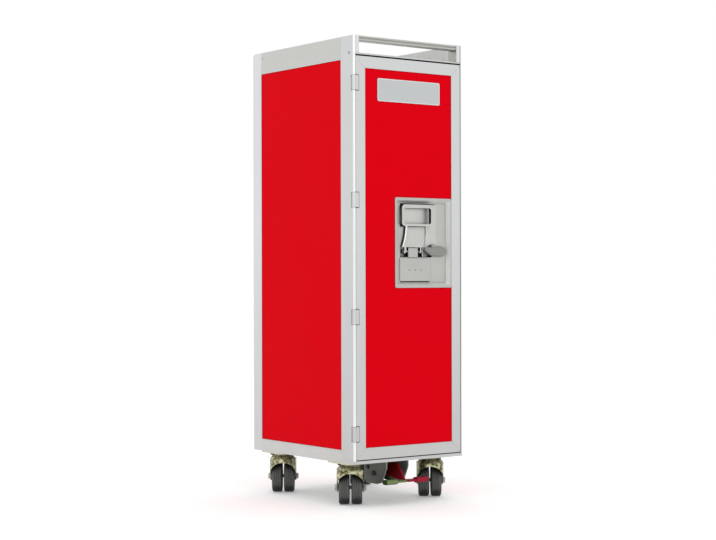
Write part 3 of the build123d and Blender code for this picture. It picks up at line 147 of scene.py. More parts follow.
def lined_aluminium(name, direction, dark, light, roughness, line_mm=DIE_LINE_MM, foot_shading=FOOT_SHADE_SHARE):
    """Aluminium with fine lines along X, Y or Z, between two tones and two roughnesses, with painted shade at
    the foot.
    """
    material = new_material(f"{name}_along_{direction}")
    place_in_frame = add_node(material, "ShaderNodeTexCoord").outputs["Object"]
    scale = [per_metre(DIE_LINE_LENGTH_MM if axis == direction else line_mm) for axis in "xyz"]
    along = add_node(material, "ShaderNodeMapping", {"Vector": place_in_frame, "Scale": scale})
    lines = add_node(
        material,
        "ShaderNodeTexNoise",
        {"Vector": along.outputs["Vector"], "Scale": 1.0, "Detail": 2.0},
    )
    touch = add_node(
        material,
        "ShaderNodeTexNoise",
        {"Vector": place_in_frame, "Scale": per_metre(HANDLING_MM)},
    )
    gloss = add_node(
        material,
        "ShaderNodeMapRange",
        {
            "Value": touch.outputs["Fac"],
            "From Min": NOISE_LOW,
            "From Max": NOISE_HIGH,
            "To Min": roughness[0],
            "To Max": roughness[1],
        },
    )
    tone = add_node(
        material,
        "ShaderNodeMix",
        {"Factor": lines.outputs["Fac"], COLOUR_A: linear(dark), COLOUR_B: linear(light)},
        data_type="RGBA",
    )
    height = add_node(material, "ShaderNodeSeparateXYZ", {"Vector": place_in_frame})
    # Painted shade: the colour goes darker towards the foot, where less light falls.
    above_foot_shade = add_node(
        material,
        "ShaderNodeMapRange",
        {
            "Value": height.outputs["Z"],
            "From Min": FOOT_SHADE_DARKEST_MM * MM,
            "From Max": FOOT_SHADE_ENDS_MM * MM,
            "To Min": 1 - foot_shading,
        },
    )
    foot_shaded = add_node(
        material,
        "ShaderNodeMix",
        {"Factor": above_foot_shade.outputs["Result"], COLOUR_A: linear(FOOT_SHADE), COLOUR_B: tone.outputs[COLOUR_OUT]},
        data_type="RGBA",
    )
    relief = add_node(
        material,
        "ShaderNodeBump",
        {"Height": lines.outputs["Fac"], "Strength": 0.12, "Distance": DIE_LINE_DEPTH_MM * MM},
    )
    # Painted shade also darkens the gaps and corners.
    return finish_material(
        material,
        Base_Color=with_painted_shade(material, foot_shaded.outputs[COLOUR_OUT], FRAME_SHADE_MM, openness=GAPS_AND_CORNERS),
        Metallic=1.0,
        Roughness=gloss.outputs["Result"],
        Normal=relief.outputs["Normal"],
    )


# The rear posts and the bottom rails get lighter copies of the anodised finish: painted light that brightens
# them.
SATIN = (0.36, 0.46)
anodised = {
    direction: lined_aluminium("anodised_aluminium", direction, dark, light, SATIN)
    for direction, dark, light in (
        ("x", "#cdcfcf", "#d8d9d9"),
        ("y", "#c6c6c3", "#d0d0cd"),
        ("z", "#cdcfcf", "#d8d9d9"),
    )
}
highlight_anodised = lined_aluminium("highlight_anodised_aluminium", "z", "#d8d9da", "#e3e4e5", SATIN)
lightened_anodised = lined_aluminium("lightened_anodised_aluminium", "y", "#d4d4d2", "#dededc", SATIN)
SHARP_EDGE = radians(40)
SMOOTH_LIMIT = radians(50)
FLAT_LIMIT = radians(1)
WELD_MM = 0.001
UNWORN, WORN = 0, 1        # the materials of a piece's faces and of its outside rounds


def rounded_copy(node, outside_mm, inside_mm=None, segments=2):
    """The mesh of a CAD piece with its outside edges rounded, and its inside corners too where a size is
    given. The rounds outside have the second material index, for pieces whose edges wear."""
    bm = bmesh.new()
    bm.from_mesh(nodes[node].data)
    bmesh.ops.remove_doubles(bm, verts=bm.verts, dist=WELD_MM * MM)
    bmesh.ops.dissolve_limit(bm, angle_limit=FLAT_LIMIT, verts=bm.verts, edges=bm.edges)
    sharp = [e for e in bm.edges if len(e.link_faces) == 2 and e.calc_face_angle() > SHARP_EDGE]
    inside = [e for e in sharp if not e.is_convex]
    outside = [e for e in sharp if e.is_convex]
    for edges, radius, wear in ((inside, inside_mm, UNWORN), (outside, outside_mm, WORN)):
        edges = [e for e in edges if e.is_valid]
        if radius and edges:
            rounds = bmesh.ops.bevel(
                bm,
                geom=edges,
                offset=radius * MM,
                segments=segments,
                profile=0.5,
                affect="EDGES",
                clamp_overlap=False,
            )
            for face in rounds["faces"]:
                face.material_index = wear
    return bm


def place(name, bm, body, materials, stands_for=()):
    """Make a mesh a piece of the object: it rides on a body and stands for the CAD nodes named."""
    for face in bm.faces:
        face.material_index = min(face.material_index, len(materials) - 1)
    mesh = bpy.data.meshes.new(name)
    bm.to_mesh(mesh)
    bm.free()
    for material in materials:
        mesh.materials.append(material)
    mesh.polygons.foreach_set("use_smooth", [True] * len(mesh.polygons))
    mesh.set_sharp_from_angle(angle=SMOOTH_LIMIT)
    piece = bpy.data.objects.new(name, mesh)
    scene.collection.objects.link(piece)
    piece.modifiers.new("flat faces stay flat", "WEIGHTED_NORMAL").keep_sharp = True
    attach(piece, body)
    if stands_for:
        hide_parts(*stands_for)
    return piece


SKIN_DEPTH = 1.0 * MM
INNER_SIDE, OUTER_SKIN, CUT_EDGE = range(3)        # the materials of a panel


def finish_node(node, materials, outside_mm, inside_mm=None, segments=2, outward=None):
    """Put the rounded copy of a CAD piece in its place, in its real finish. A second material is for worn
    edges. Where an outward direction is given, it is for the skin on that side, and a third for cut edges."""
    bm = rounded_copy(node, outside_mm, inside_mm, segments)
    if outward:
        bm.normal_update()
        outward = Vector(outward)
        reach = max(v.co.dot(outward) for v in bm.verts) - SKIN_DEPTH
        for face in bm.faces:
            outside = face.calc_center_median().dot(outward) > reach
            faces_out = face.normal.dot(outward)
            if outside and faces_out > cos(SHARP_EDGE):
                face.material_index = OUTER_SKIN
            else:
                face.material_index = CUT_EDGE if faces_out > -cos(SHARP_EDGE) else INNER_SIDE
    return place(
        f"{node}_finished",
        bm,
        nodes[node]["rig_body"],
        materials,
        [node],
    )


EXTRUSION_ROUND_MM = 0.3
finish_node("strike_post", [anodised["z"]], EXTRUSION_ROUND_MM)
for post in ("rear_post_left", "rear_post_right"):
    finish_node(post, [highlight_anodised], EXTRUSION_ROUND_MM)
for side in ("left", "right"):
    finish_node(f"top_rail_{side}", [anodised["y"]], EXTRUSION_ROUND_MM)
    finish_node(f"bottom_rail_{side}", [lightened_anodised], EXTRUSION_ROUND_MM)

# Hinge post: the front post on the door's hinge side, drawn with a round bead down its corner. The bead is
# notched for the knuckles and bored for the pin, and its nose is polished by the door's wiping edge.
# Polished aluminium: the same metal rubbed smooth, in a lighter tone that paints the narrow white line of
# light along the bead.
BEAD_REACH = 3.3 * MM
polished = lined_aluminium("polished_aluminium", "z", "#e6e7e7", "#eeefef", (0.2, 0.3), foot_shading=0.0)
joints = {joint["name"]: joint for joint in frame["record"]["behaviour"]["joints"]}
hinge_axis = Vector(joints["door_swing"]["pos_m"])
hinge_post = rounded_copy("hinge_post", EXTRUSION_ROUND_MM)
# The bead's faces take the polished aluminium, whose lighter tone paints its highlight.
for face in hinge_post.faces:
    face.material_index = int((face.calc_center_median() - hinge_axis).xy.length < BEAD_REACH)
place(
    "hinge_post_finished",
    hinge_post,
    "cabinet",
    [anodised["z"], polished],
    ["hinge_post"],
)

# Side and back panels: foam-cored sheets with thin aluminium skins, slid into the grooves of the frame.
# The outside is covered with a red film, rolled on and trimmed under the frame's lips.
# Vinyl film: an even, rather matt colour that shows the slight orange peel of the skin under it. A painted
# shadow darkens it along the frame's lips.
FILM_PEEL_MM = 2.4
FILM_PEEL_DEPTH_MM = 0.1
FILM_TONE_MM = 130.0
FILM_LIP_SHADOW_MM = 4.0
LIP_CORNERS = (0.5, 0.95)
red_film = new_material("red_vinyl_film")
film_place = add_node(red_film, "ShaderNodeTexCoord").outputs["Object"]
film_peel = add_node(
    red_film,
    "ShaderNodeTexNoise",
    {"Vector": film_place, "Scale": per_metre(FILM_PEEL_MM), "Detail": 1.0},
)
film_shade = add_node(
    red_film,
    "ShaderNodeTexNoise",
    {"Vector": film_place, "Scale": per_metre(FILM_TONE_MM)},
)
film_tone = add_node(
    red_film,
    "ShaderNodeMix",
    {"Factor": film_shade.outputs["Fac"], COLOUR_A: linear("#da0010"), COLOUR_B: linear("#e20014")},
    data_type="RGBA",
)
film_gloss = add_node(
    red_film,
    "ShaderNodeMapRange",
    {
        "Value": film_shade.outputs["Fac"],
        "From Min": NOISE_LOW,
        "From Max": NOISE_HIGH,
        "To Min": 0.46,
        "To Max": 0.56,
    },
)
film_relief = add_node(
    red_film,
    "ShaderNodeBump",
    {"Height": film_peel.outputs["Fac"], "Strength": 0.08, "Distance": FILM_PEEL_DEPTH_MM * MM},
)
# The film goes darker close to the frame's lips: a painted shadow.
finish_material(
    red_film,
    Base_Color=with_painted_shade(red_film, film_tone.outputs[COLOUR_OUT], FILM_LIP_SHADOW_MM, "#5c0207", LIP_CORNERS),
    Roughness=film_gloss.outputs["Result"],
    Specular_IOR_Level=0.02,
    Normal=film_relief.outputs["Normal"],
)

# Rigid foam: the cut edge of the core, a dull grey-brown full of small cells.
CELL_MM = 1.5
foam = new_material("rigid_foam")
foam_place = add_node(foam, "ShaderNodeTexCoord").outputs["Object"]
cells = add_node(foam, "ShaderNodeTexVoronoi", {"Vector": foam_place, "Scale": per_metre(CELL_MM)})
foam_tone = add_node(
    foam,
    "ShaderNodeMix",
    {"Factor": cells.outputs["Distance"], COLOUR_A: linear("#4a4640"), COLOUR_B: linear("#6b655b")},
    data_type="RGBA",
)
finish_material(foam, Base_Color=foam_tone.outputs[COLOUR_OUT], Roughness=0.9)

PANEL_ROUND_MM = 0.3
for panel, outward in (
    ("side_panel_left", (-1, 0, 0)),
    ("side_panel_right", (1, 0, 0)),
    ("back_panel", (0, 1, 0)),
):
    finish_node(panel, [anodised["z"], red_film, foam], PANEL_ROUND_MM, outward=outward)

# Worktop and base: folded aluminium trays, screwed between the walls. The worktop is brushed from side to
# side and its rim keeps things from sliding off.
# Brushed aluminium: straight scratches that draw the light out across them.
BRUSH_MM = 0.8        # real brushing is finer: drawn this coarse so that it shows
brushed = lined_aluminium("brushed_aluminium", "x", "#bfc1c1", "#d2d3d3", (0.3, 0.4), BRUSH_MM)
finish_node("worktop", [brushed], EXTRUSION_ROUND_MM)
finish_node("base_tray", [anodised["x"]], EXTRUSION_ROUND_MM)

# Handles: grooved aluminium bars across the top, in front between end blocks and at the back between the
# rear posts. They are anodised with the frame.
# Handled aluminium: the bars' skin, darker and a little glossier from many hands.
HANDLE_ROUND_MM = 0.4
BLOCK_WIDTH = 10.4 * MM
handled = lined_aluminium("handled_aluminium", "x", "#b2b1ac", "#c2c1bc", (0.32, 0.42))
block_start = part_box("front_handle")[1].x - BLOCK_WIDTH
front_handle = rounded_copy("front_handle", HANDLE_ROUND_MM)
for side in (-1, 1):
    bmesh.ops.bisect_plane(
        front_handle,
        geom=front_handle.verts[:] + front_handle.edges[:] + front_handle.faces[:],
        plane_co=(side * block_start, 0, 0),
        plane_no=(1, 0, 0),
    )
# The end blocks take the lighter anodised copy, a painted highlight; the bars between them are handled
# aluminium.
for face in front_handle.faces:
    face.material_index = int(abs(face.calc_center_median().x) < block_start)
place(
    "front_handle_finished",
    front_handle,
    "cabinet",
    [highlight_anodised, handled],
    ["front_handle"],
)
finish_node("rear_handle", [handled], HANDLE_ROUND_MM)

# Runner rails: aluminium ledges, pressed from sheet and fixed in pairs to both walls inside. Drawers and
# trays slide on them.
RUNNER_ROUND_MM = 0.3
finish_node("runner_rails", [anodised["y"]], RUNNER_ROUND_MM)

# Pins, keeper and bolt: the pins of the hinge and of the pull handle, the keeper on the strike post and the
# bolt that slides into it. They are cut from plain steel and zinc plated against rust.
# Bright zinc: a cool metal with a fine crystal grain and a slight blue cast, with painted shade in its gaps.
ZINC_GRAIN_MM = 1.2
FITTING_SHADE_MM = 12.0
FITTING_ROUND_MM = 0.3
bright_zinc = new_material("bright_zinc_plate")
zinc_place = add_node(bright_zinc, "ShaderNodeTexCoord").outputs["Object"]
zinc_grain = add_node(
    bright_zinc,
    "ShaderNodeTexVoronoi",
    {"Vector": zinc_place, "Scale": per_metre(ZINC_GRAIN_MM)},
)
zinc_tone = add_node(
    bright_zinc,
    "ShaderNodeMix",
    {"Factor": zinc_grain.outputs["Distance"], COLOUR_A: linear("#a3a7aa"), COLOUR_B: linear("#bdc0c2")},
    data_type="RGBA",
)
finish_material(
    bright_zinc,
    Base_Color=with_painted_shade(bright_zinc, zinc_tone.outputs[COLOUR_OUT], FITTING_SHADE_MM),
    Metallic=1.0,
    Roughness=0.35,
)
for fitting in ("hinge_pin", "latch_keeper", "pull_handle_pin", "latch_bolt"):
    finish_node(fitting, [bright_zinc], FITTING_ROUND_MM)


# Frame screws: one screw on the side of each front post, holding the end block of the handle, and a smaller
# one at the back end of each top rail. The zinc-plated heads are turned with a low dome and a socket.
def turned(profile, centre, axis, sides=32, closed=False):
    """A turned mesh. Profile points are (along the axis, radius) in millimetres from a centre in metres."""
    bm = bmesh.new()
    axis = Vector(axis).normalized()
    spoke = axis.orthogonal().normalized()
    rings = []
    for along, radius in profile:
        middle = Vector(centre) + axis * along * MM
        count = sides if radius else 1
        rings.append(
            [
                bm.verts.new(middle + Matrix.Rotation(tau * i / sides, 3, axis) @ spoke * radius * MM)
                for i in range(count)
            ]
        )
    for ring, following in zip(rings, rings[1:] + rings[:1] if closed else rings[1:]):
        for i in range(sides):
            corners = [ring[i % len(ring)], ring[(i + 1) % len(ring)]]
            corners += [following[(i + 1) % len(following)], following[i % len(following)]]
            bm.faces.new(dict.fromkeys(corners))
    bmesh.ops.recalc_face_normals(bm, faces=bm.faces)
    return bm


POST_SCREW_MM = [(0, 3.0), (0.5, 3.0), (0.9, 2.3), (0.9, 1.4), (0.2, 1.2), (0.2, 0)]
POST_SCREW_SETBACK = 17.9 * MM
POST_SCREW_DROP = 37.3 * MM
RAIL_SCREW_MM = [(0, 2.1), (0.3, 2.1), (0.6, 1.6), (0.6, 1.0), (0.1, 0.9), (0.1, 0)]
RAIL_SCREW_FROM_POST = 6.0 * MM
RAIL_SCREW_DROP = 14.0 * MM
post_low, post_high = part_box("strike_post")
rear_low, rear_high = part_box("rear_post_right")
for name, head, y, z in (
    ("post_screw", POST_SCREW_MM, post_low.y + POST_SCREW_SETBACK, post_high.z - POST_SCREW_DROP),
    ("rail_screw", RAIL_SCREW_MM, rear_low.y - RAIL_SCREW_FROM_POST, rear_high.z - RAIL_SCREW_DROP),
):
    for side, hand in ((-1, "left"), (1, "right")):
        place(
            f"{name}_{hand}",
            turned(head, (side * post_high.x, y, z), (side, 0, 0)),
            "cabinet",
            [bright_zinc],
        )

# Door frame: four lengths of grooved aluminium section, mitred and joined at the corners. The rounded
# arris leaves a fine seam along each mitre.
# Scuffed aluminium: the bottom rail's skin, duller from knocks and shoes.
DOOR_ROUND_MM = 0.4
scuffed = lined_aluminium("scuffed_aluminium", "x", "#cecfcf", "#dadbdb", (0.42, 0.52))
for stile in ("door_stile_hinge", "door_stile_latch"):
    finish_node(stile, [anodised["z"]], DOOR_ROUND_MM)
finish_node("door_rail_top", [anodised["x"]], DOOR_ROUND_MM)
finish_node("door_rail_bottom", [scuffed], DOOR_ROUND_MM)

# Door panel: the same sandwich sheet as the walls, red on the outside and bare aluminium inside. It sits in
# the grooves of the door's frame, with a pocket cut out of it for the latch.
finish_node("door_panel", [anodised["z"], red_film, foam], PANEL_ROUND_MM, outward=(0, -1, 0))


# Label plate: a thin aluminium plate, left blank, glued across the head of the door. It has a bright rim
# round a satin field that is etched a little lower.
def rounded_outline(width, height, corner, steps=6):
    """Points (across, up) round a rectangle with rounded corners, about its middle."""
    points = []
    for turn, (i, j) in enumerate(((1, 1), (-1, 1), (-1, -1), (1, -1))):
        middle = Vector((i * (width / 2 - corner), j * (height / 2 - corner)))
        for step in range(steps + 1):
            angle = (turn + step / steps) * pi / 2
            points.append(middle + Vector((cos(angle), sin(angle))) * corner)
    return points


def front_plate(outline, centre, thickness):
    """A plate on a face that looks to -Y, from an outline in metres. The front face comes last."""
    bm = bmesh.new()
    base = [bm.verts.new((centre[0] + across, centre[1], centre[2] + up)) for across, up in outline]
    front = [bm.verts.new(v.co - Vector((0, thickness, 0))) for v in base]
    for i in range(len(base)):
        j = (i + 1) % len(base)
        bm.faces.new((base[i], base[j], front[j], front[i]))
    bm.faces.new(base)
    bm.faces.new(front)
    bmesh.ops.recalc_face_normals(bm, faces=bm.faces)
    bm.faces.ensure_lookup_table()
    return bm


# Etched aluminium: matt and a shade darker than the polished rim.
ETCH_MM = 0.9
etched = new_material("etched_aluminium")
etch_place = add_node(etched, "ShaderNodeTexCoord").outputs["Object"]
etch_grain = add_node(etched, "ShaderNodeTexNoise", {"Vector": etch_place, "Scale": per_metre(ETCH_MM)})
etch_tone = add_node(
    etched,
    "ShaderNodeMix",
    {"Factor": etch_grain.outputs["Fac"], COLOUR_A: linear("#c0c3c3"), COLOUR_B: linear("#cacdcd")},
    data_type="RGBA",
)
finish_material(etched, Base_Color=etch_tone.outputs[COLOUR_OUT], Metallic=0.7, Roughness=0.55)
plate_rim = lined_aluminium("polished_aluminium", "x", "#d8dada", "#e0e2e2", (0.25, 0.3))
PLATE_SIZE = Vector((175.0, 50.0)) * MM
PLATE_CORNER = 4.0 * MM
PLATE_SHEET = 0.7 * MM
PLATE_BORDER = 2.0 * MM
PLATE_ETCH = 0.15 * MM
PLATE_DROP = 52.5 * MM
panel_low, panel_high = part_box("door_panel")
plate = front_plate(
    rounded_outline(*PLATE_SIZE, PLATE_CORNER),
    (0, panel_low.y, panel_high.z - PLATE_DROP),
    PLATE_SHEET,
)
field = plate.faces[-1]
bmesh.ops.inset_individual(plate, faces=[field], thickness=PLATE_BORDER, depth=0)
bmesh.ops.inset_individual(plate, faces=[field], thickness=PLATE_ETCH, depth=-PLATE_ETCH)
field.material_index = 1
place("label_plate", plate, "door", [plate_rim, etched])

# Door seal: a soft black strip, extruded and pressed on round the inside of the door. It closes against the
# cabinet's front.
# EPDM rubber: matt, with a grey bloom.
BLOOM_MM = 12.0
SEAL_ROUND_MM = 0.8
seal_rubber = new_material("epdm_rubber")
seal_place = add_node(seal_rubber, "ShaderNodeTexCoord").outputs["Object"]
bloom = add_node(seal_rubber, "ShaderNodeTexNoise", {"Vector": seal_place, "Scale": per_metre(BLOOM_MM)})
seal_tone = add_node(
    seal_rubber,
    "ShaderNodeMix",
    {"Factor": bloom.outputs["Fac"], COLOUR_A: linear("#1c1d1d"), COLOUR_B: linear("#313332")},
    data_type="RGBA",
)
finish_material(seal_rubber, Base_Color=seal_tone.outputs[COLOUR_OUT], Roughness=0.8)
finish_node("door_seal", [seal_rubber], SEAL_ROUND_MM)

# Hinge knuckles: short aluminium barrels, each with a leaf that is riveted to the face of the door. A thin
# sheet of the black rubber under each leaf shows all round it: a painted shadow outline.
KNUCKLES = 4
KNUCKLE_ROUND_MM = 0.4
KNUCKLE_HEIGHT = 32.0 * MM
LEAF_OVERLAP = 7.5 * MM
SHADOW_OUTLINE_WIDTH = 1.4 * MM
SHADOW_OUTLINE_SHEET = 0.4 * MM
finish_node("hinge_knuckles", [anodised["z"]], KNUCKLE_ROUND_MM)
knuckles_low, knuckles_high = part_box("hinge_knuckles")
stile_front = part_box("door_stile_hinge")[0].y
knuckle_pitch = (knuckles_high.z - knuckles_low.z - KNUCKLE_HEIGHT) / (KNUCKLES - 1)
# Each leaf gets a dark rubber outline, a painted shadow round it.
for i in range(KNUCKLES):
    place(
        f"leaf_shadow_outline_{i + 1}",
        front_plate(
            rounded_outline(LEAF_OVERLAP + SHADOW_OUTLINE_WIDTH, KNUCKLE_HEIGHT + 2 * SHADOW_OUTLINE_WIDTH, SHADOW_OUTLINE_WIDTH),
            (
                knuckles_high.x + SHADOW_OUTLINE_WIDTH - (LEAF_OVERLAP + SHADOW_OUTLINE_WIDTH) / 2,
                stile_front,
                knuckles_low.z + KNUCKLE_HEIGHT / 2 + i * knuckle_pitch,
            ),
            SHADOW_OUTLINE_SHEET,
        ),
        "door",
        [seal_rubber],
    )

# Latch pan: a deep-drawn steel pan, nickel plated, with soft bends round the tray and the well. A cover
# plate below the handle is held by three small rivets.
# Satin nickel: greyer and warmer than the frame, with a fine cross grain and hazy reflections.
NICKEL_GRAIN_MM = 1.0
NICKEL_HAZE_MM = 45.0


def nickel(name, dark, light, shade_mm, shade_colour, openness, roughness=(0.38, 0.5)):
    """Satin nickel between two tones, going over to painted shade."""
    material = new_material(name)
    place_in_frame = add_node(material, "ShaderNodeTexCoord").outputs["Object"]
    grain = add_node(
        material,
        "ShaderNodeTexNoise",
        {"Vector": place_in_frame, "Scale": per_metre(NICKEL_GRAIN_MM), "Detail": 3.0},
    )
    haze = add_node(
        material,
        "ShaderNodeTexNoise",
        {"Vector": place_in_frame, "Scale": per_metre(NICKEL_HAZE_MM)},
    )
    tone = add_node(
        material,
        "ShaderNodeMix",
        {"Factor": haze.outputs["Fac"], COLOUR_A: linear(dark), COLOUR_B: linear(light)},
        data_type="RGBA",
    )
    gloss = add_node(
        material,
        "ShaderNodeMapRange",
        {
            "Value": grain.outputs["Fac"],
            "From Min": NOISE_LOW,
            "From Max": NOISE_HIGH,
            "To Min": roughness[0],
            "To Max": roughness[1],
        },
    )
    return finish_material(
        material,
        Base_Color=with_painted_shade(material, tone.outputs[COLOUR_OUT], shade_mm, shade_colour, openness),
        Metallic=1.0,
        Roughness=gloss.outputs["Result"],
    )


# The bends are rougher, and a lighter tone on them paints a highlight. Painted shade darkens the corners of
# the tray and the bends, and turns the well nearly black in its corners and along its walls.
DEEP_SHADE = "#141513"
TRAY_SHADE = "#7d7e7a"
TRAY_SHADE_MM = 6.0
TRAY_CORNERS = (0.5, 0.95)
BEND_SHADE = "#5b5c58"
BEND_SHADE_MM = 5.0
BEND_GLOSS = (0.6, 0.7)
WELL_SHADE_MM = 10.0
WELL_CORNERS = (0.45, 0.9)
WALL_SHADE_MM = 14.0
WALL_CORNERS = (0.55, 0.98)
pan_nickels = [
    nickel("satin_nickel_plate", "#b6b7b3", "#c1c2be", TRAY_SHADE_MM, TRAY_SHADE, TRAY_CORNERS),
    nickel("bend_highlight_nickel_plate", "#d6d7d3", "#dfe0dc", BEND_SHADE_MM, BEND_SHADE, GAPS_ONLY, BEND_GLOSS),
    nickel("well_floor_shade_nickel_plate", "#c6c7c3", "#d1d2ce", WELL_SHADE_MM, DEEP_SHADE, WELL_CORNERS),
    nickel("well_wall_shade_nickel_plate", "#c6c7c3", "#d1d2ce", WALL_SHADE_MM, DEEP_SHADE, WALL_CORNERS),
]
TRAY, BEND, WELL_FLOOR, WELL_WALL = range(4)        # the places that those materials are for
PAN_ROUND_MM = 0.4
TRAY_DEPTH = 8.5 * MM
BEND_SLOPE = (0.3, 0.7)
pan_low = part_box("latch_pan")[0]
latch_pan = rounded_copy("latch_pan", PAN_ROUND_MM, PAN_ROUND_MM)
latch_pan.normal_update()
for face in latch_pan.faces:
    depth = face.calc_center_median().y - pan_low.y
    faces_front = -face.normal.y
    if depth > TRAY_DEPTH + PAN_ROUND_MM * MM:
        face.material_index = WELL_FLOOR if faces_front > BEND_SLOPE[1] else WELL_WALL
    else:
        face.material_index = BEND if BEND_SLOPE[0] < faces_front < BEND_SLOPE[1] else TRAY
place("latch_pan_finished", latch_pan, "door", pan_nickels, ["latch_pan"])

# Blackened steel: a thin dark oxide, a little oily, that only catches light on its edges.
OXIDE_MM = 1.0
black_steel = new_material("blackened_steel")
oxide_place = add_node(black_steel, "ShaderNodeTexCoord").outputs["Object"]
oxide = add_node(black_steel, "ShaderNodeTexNoise", {"Vector": oxide_place, "Scale": per_metre(OXIDE_MM)})
oxide_tone = add_node(
    black_steel,
    "ShaderNodeMix",
    {"Factor": oxide.outputs["Fac"], COLOUR_A: linear("#24272b"), COLOUR_B: linear("#3a3d40")},
    data_type="RGBA",
)
finish_material(black_steel, Base_Color=oxide_tone.outputs[COLOUR_OUT], Metallic=0.6, Roughness=0.45)

COVER_RIVET_MM = [(0, 1.2), (0.3, 1.1), (0.5, 0.6), (0.55, 0)]
COVER_RIVETS = 3
COVER_RIVET_PITCH = 16.5 * MM
COVER_FROM_PAN_LEFT = 61.0 * MM
COVER_FROM_PAN_FOOT = 39.5 * MM
COVER_FACE = 6.5 * MM
cover_middle = pan_low + Vector((COVER_FROM_PAN_LEFT, COVER_FACE, COVER_FROM_PAN_FOOT))
for i in range(COVER_RIVETS):
    along = (i - (COVER_RIVETS - 1) / 2) * COVER_RIVET_PITCH
    place(
        f"cover_rivet_{i + 1}",
        turned(COVER_RIVET_MM, cover_middle + Vector((along, 0, 0)), (0, -1, 0), sides=20),
        "door",
        [black_steel],
    )

# Pull handle: a die-cast grip on a flared neck, plated with the pan. Hands have rubbed its edges, which are
# painted lighter as a highlight, and painted shade darkens its corners. A spring on its pin holds it flat.
# Rubbed nickel: the same plating polished by use, in a lighter tone that paints a highlight where it turns to
# the light.
RUB_MM = 4.0
rubbed_highlight_nickel = new_material("rubbed_highlight_nickel_plate")
rub_place = add_node(rubbed_highlight_nickel, "ShaderNodeTexCoord").outputs["Object"]
rub = add_node(rubbed_highlight_nickel, "ShaderNodeTexNoise", {"Vector": rub_place, "Scale": per_metre(RUB_MM)})
rub_tone = add_node(
    rubbed_highlight_nickel,
    "ShaderNodeMix",
    {"Factor": rub.outputs["Fac"], COLOUR_A: linear("#dededa"), COLOUR_B: linear("#ececea")},
    data_type="RGBA",
)
rub_gloss = add_node(
    rubbed_highlight_nickel,
    "ShaderNodeMapRange",
    {
        "Value": rub.outputs["Fac"],
        "From Min": NOISE_LOW,
        "From Max": NOISE_HIGH,
        "To Min": 0.15,
        "To Max": 0.25,
    },
)
finish_material(
    rubbed_highlight_nickel,
    Base_Color=rub_tone.outputs[COLOUR_OUT],
    Metallic=1.0,
    Roughness=rub_gloss.outputs["Result"],
)

# Cast nickel: the pan's plating on a casting, grey on the grip's faces, with painted shade in its corners. A
# nearly black copy of it paints the shade on the wall of its window.
GRIP_SHADE_MM = 12.0
GRIP_CORNERS = (0.6, 0.98)
cast_nickel = nickel(
    "cast_nickel_plate", "#bfc0bc", "#cbccc8", GRIP_SHADE_MM, DEEP_SHADE, GRIP_CORNERS
)
window_shade_nickel = nickel(
    "window_shade_nickel_plate", "#363734", "#454643", GRIP_SHADE_MM, DEEP_SHADE, GRIP_CORNERS
)
WINDOW_SHADE = 2        # the third material, after the faces and the worn edges: painted shade
GRIP_ROUND_MM = 0.8
GRIP_HEIGHT = 48.0 * MM
GRIP_RAIL = 9.0 * MM
RAIL_LEFT = 5.4 * MM
RAIL_RIGHT = 5.0 * MM
RAIL_TOP = 7.5 * MM
RAIL_LOW = 5.0 * MM
WINDOW_TOLERANCE = 0.1 * MM
handle_low, handle_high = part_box("pull_handle")
pull_handle = rounded_copy("pull_handle", GRIP_ROUND_MM)
grip_middle_x = (handle_low.x + handle_high.x) / 2
grip_middle_z = handle_high.z - GRIP_HEIGHT / 2
window_x = handle_high.x - grip_middle_x - GRIP_RAIL + GRIP_ROUND_MM * MM + WINDOW_TOLERANCE
window_z = GRIP_HEIGHT / 2 - GRIP_RAIL + GRIP_ROUND_MM * MM + WINDOW_TOLERANCE
for vert in pull_handle.verts:
    across = vert.co.x - grip_middle_x
    up = vert.co.z - grip_middle_z
    if abs(across) < window_x and abs(up) < window_z:
        vert.co.x += GRIP_RAIL - RAIL_RIGHT if across > 0 else RAIL_LEFT - GRIP_RAIL
        vert.co.z += GRIP_RAIL - RAIL_TOP if up > 0 else RAIL_LOW - GRIP_RAIL
pull_handle.normal_update()
window_middle_z = handle_high.z - (RAIL_TOP + GRIP_HEIGHT - RAIL_LOW) / 2
# Painted shade: the window's wall that looks to the hinge side takes the nearly black copy.
for face in pull_handle.faces:
    centre = face.calc_center_median()
    in_window = centre.x > grip_middle_x and abs(centre.z - window_middle_z) < GRIP_HEIGHT / 2 - RAIL_LOW
    if in_window and face.normal.x < -cos(SHARP_EDGE):
        face.material_index = WINDOW_SHADE
place(
    "pull_handle_finished",
    pull_handle,
    "pull_handle",
    [cast_nickel, rubbed_highlight_nickel, window_shade_nickel],
    ["pull_handle"],
)

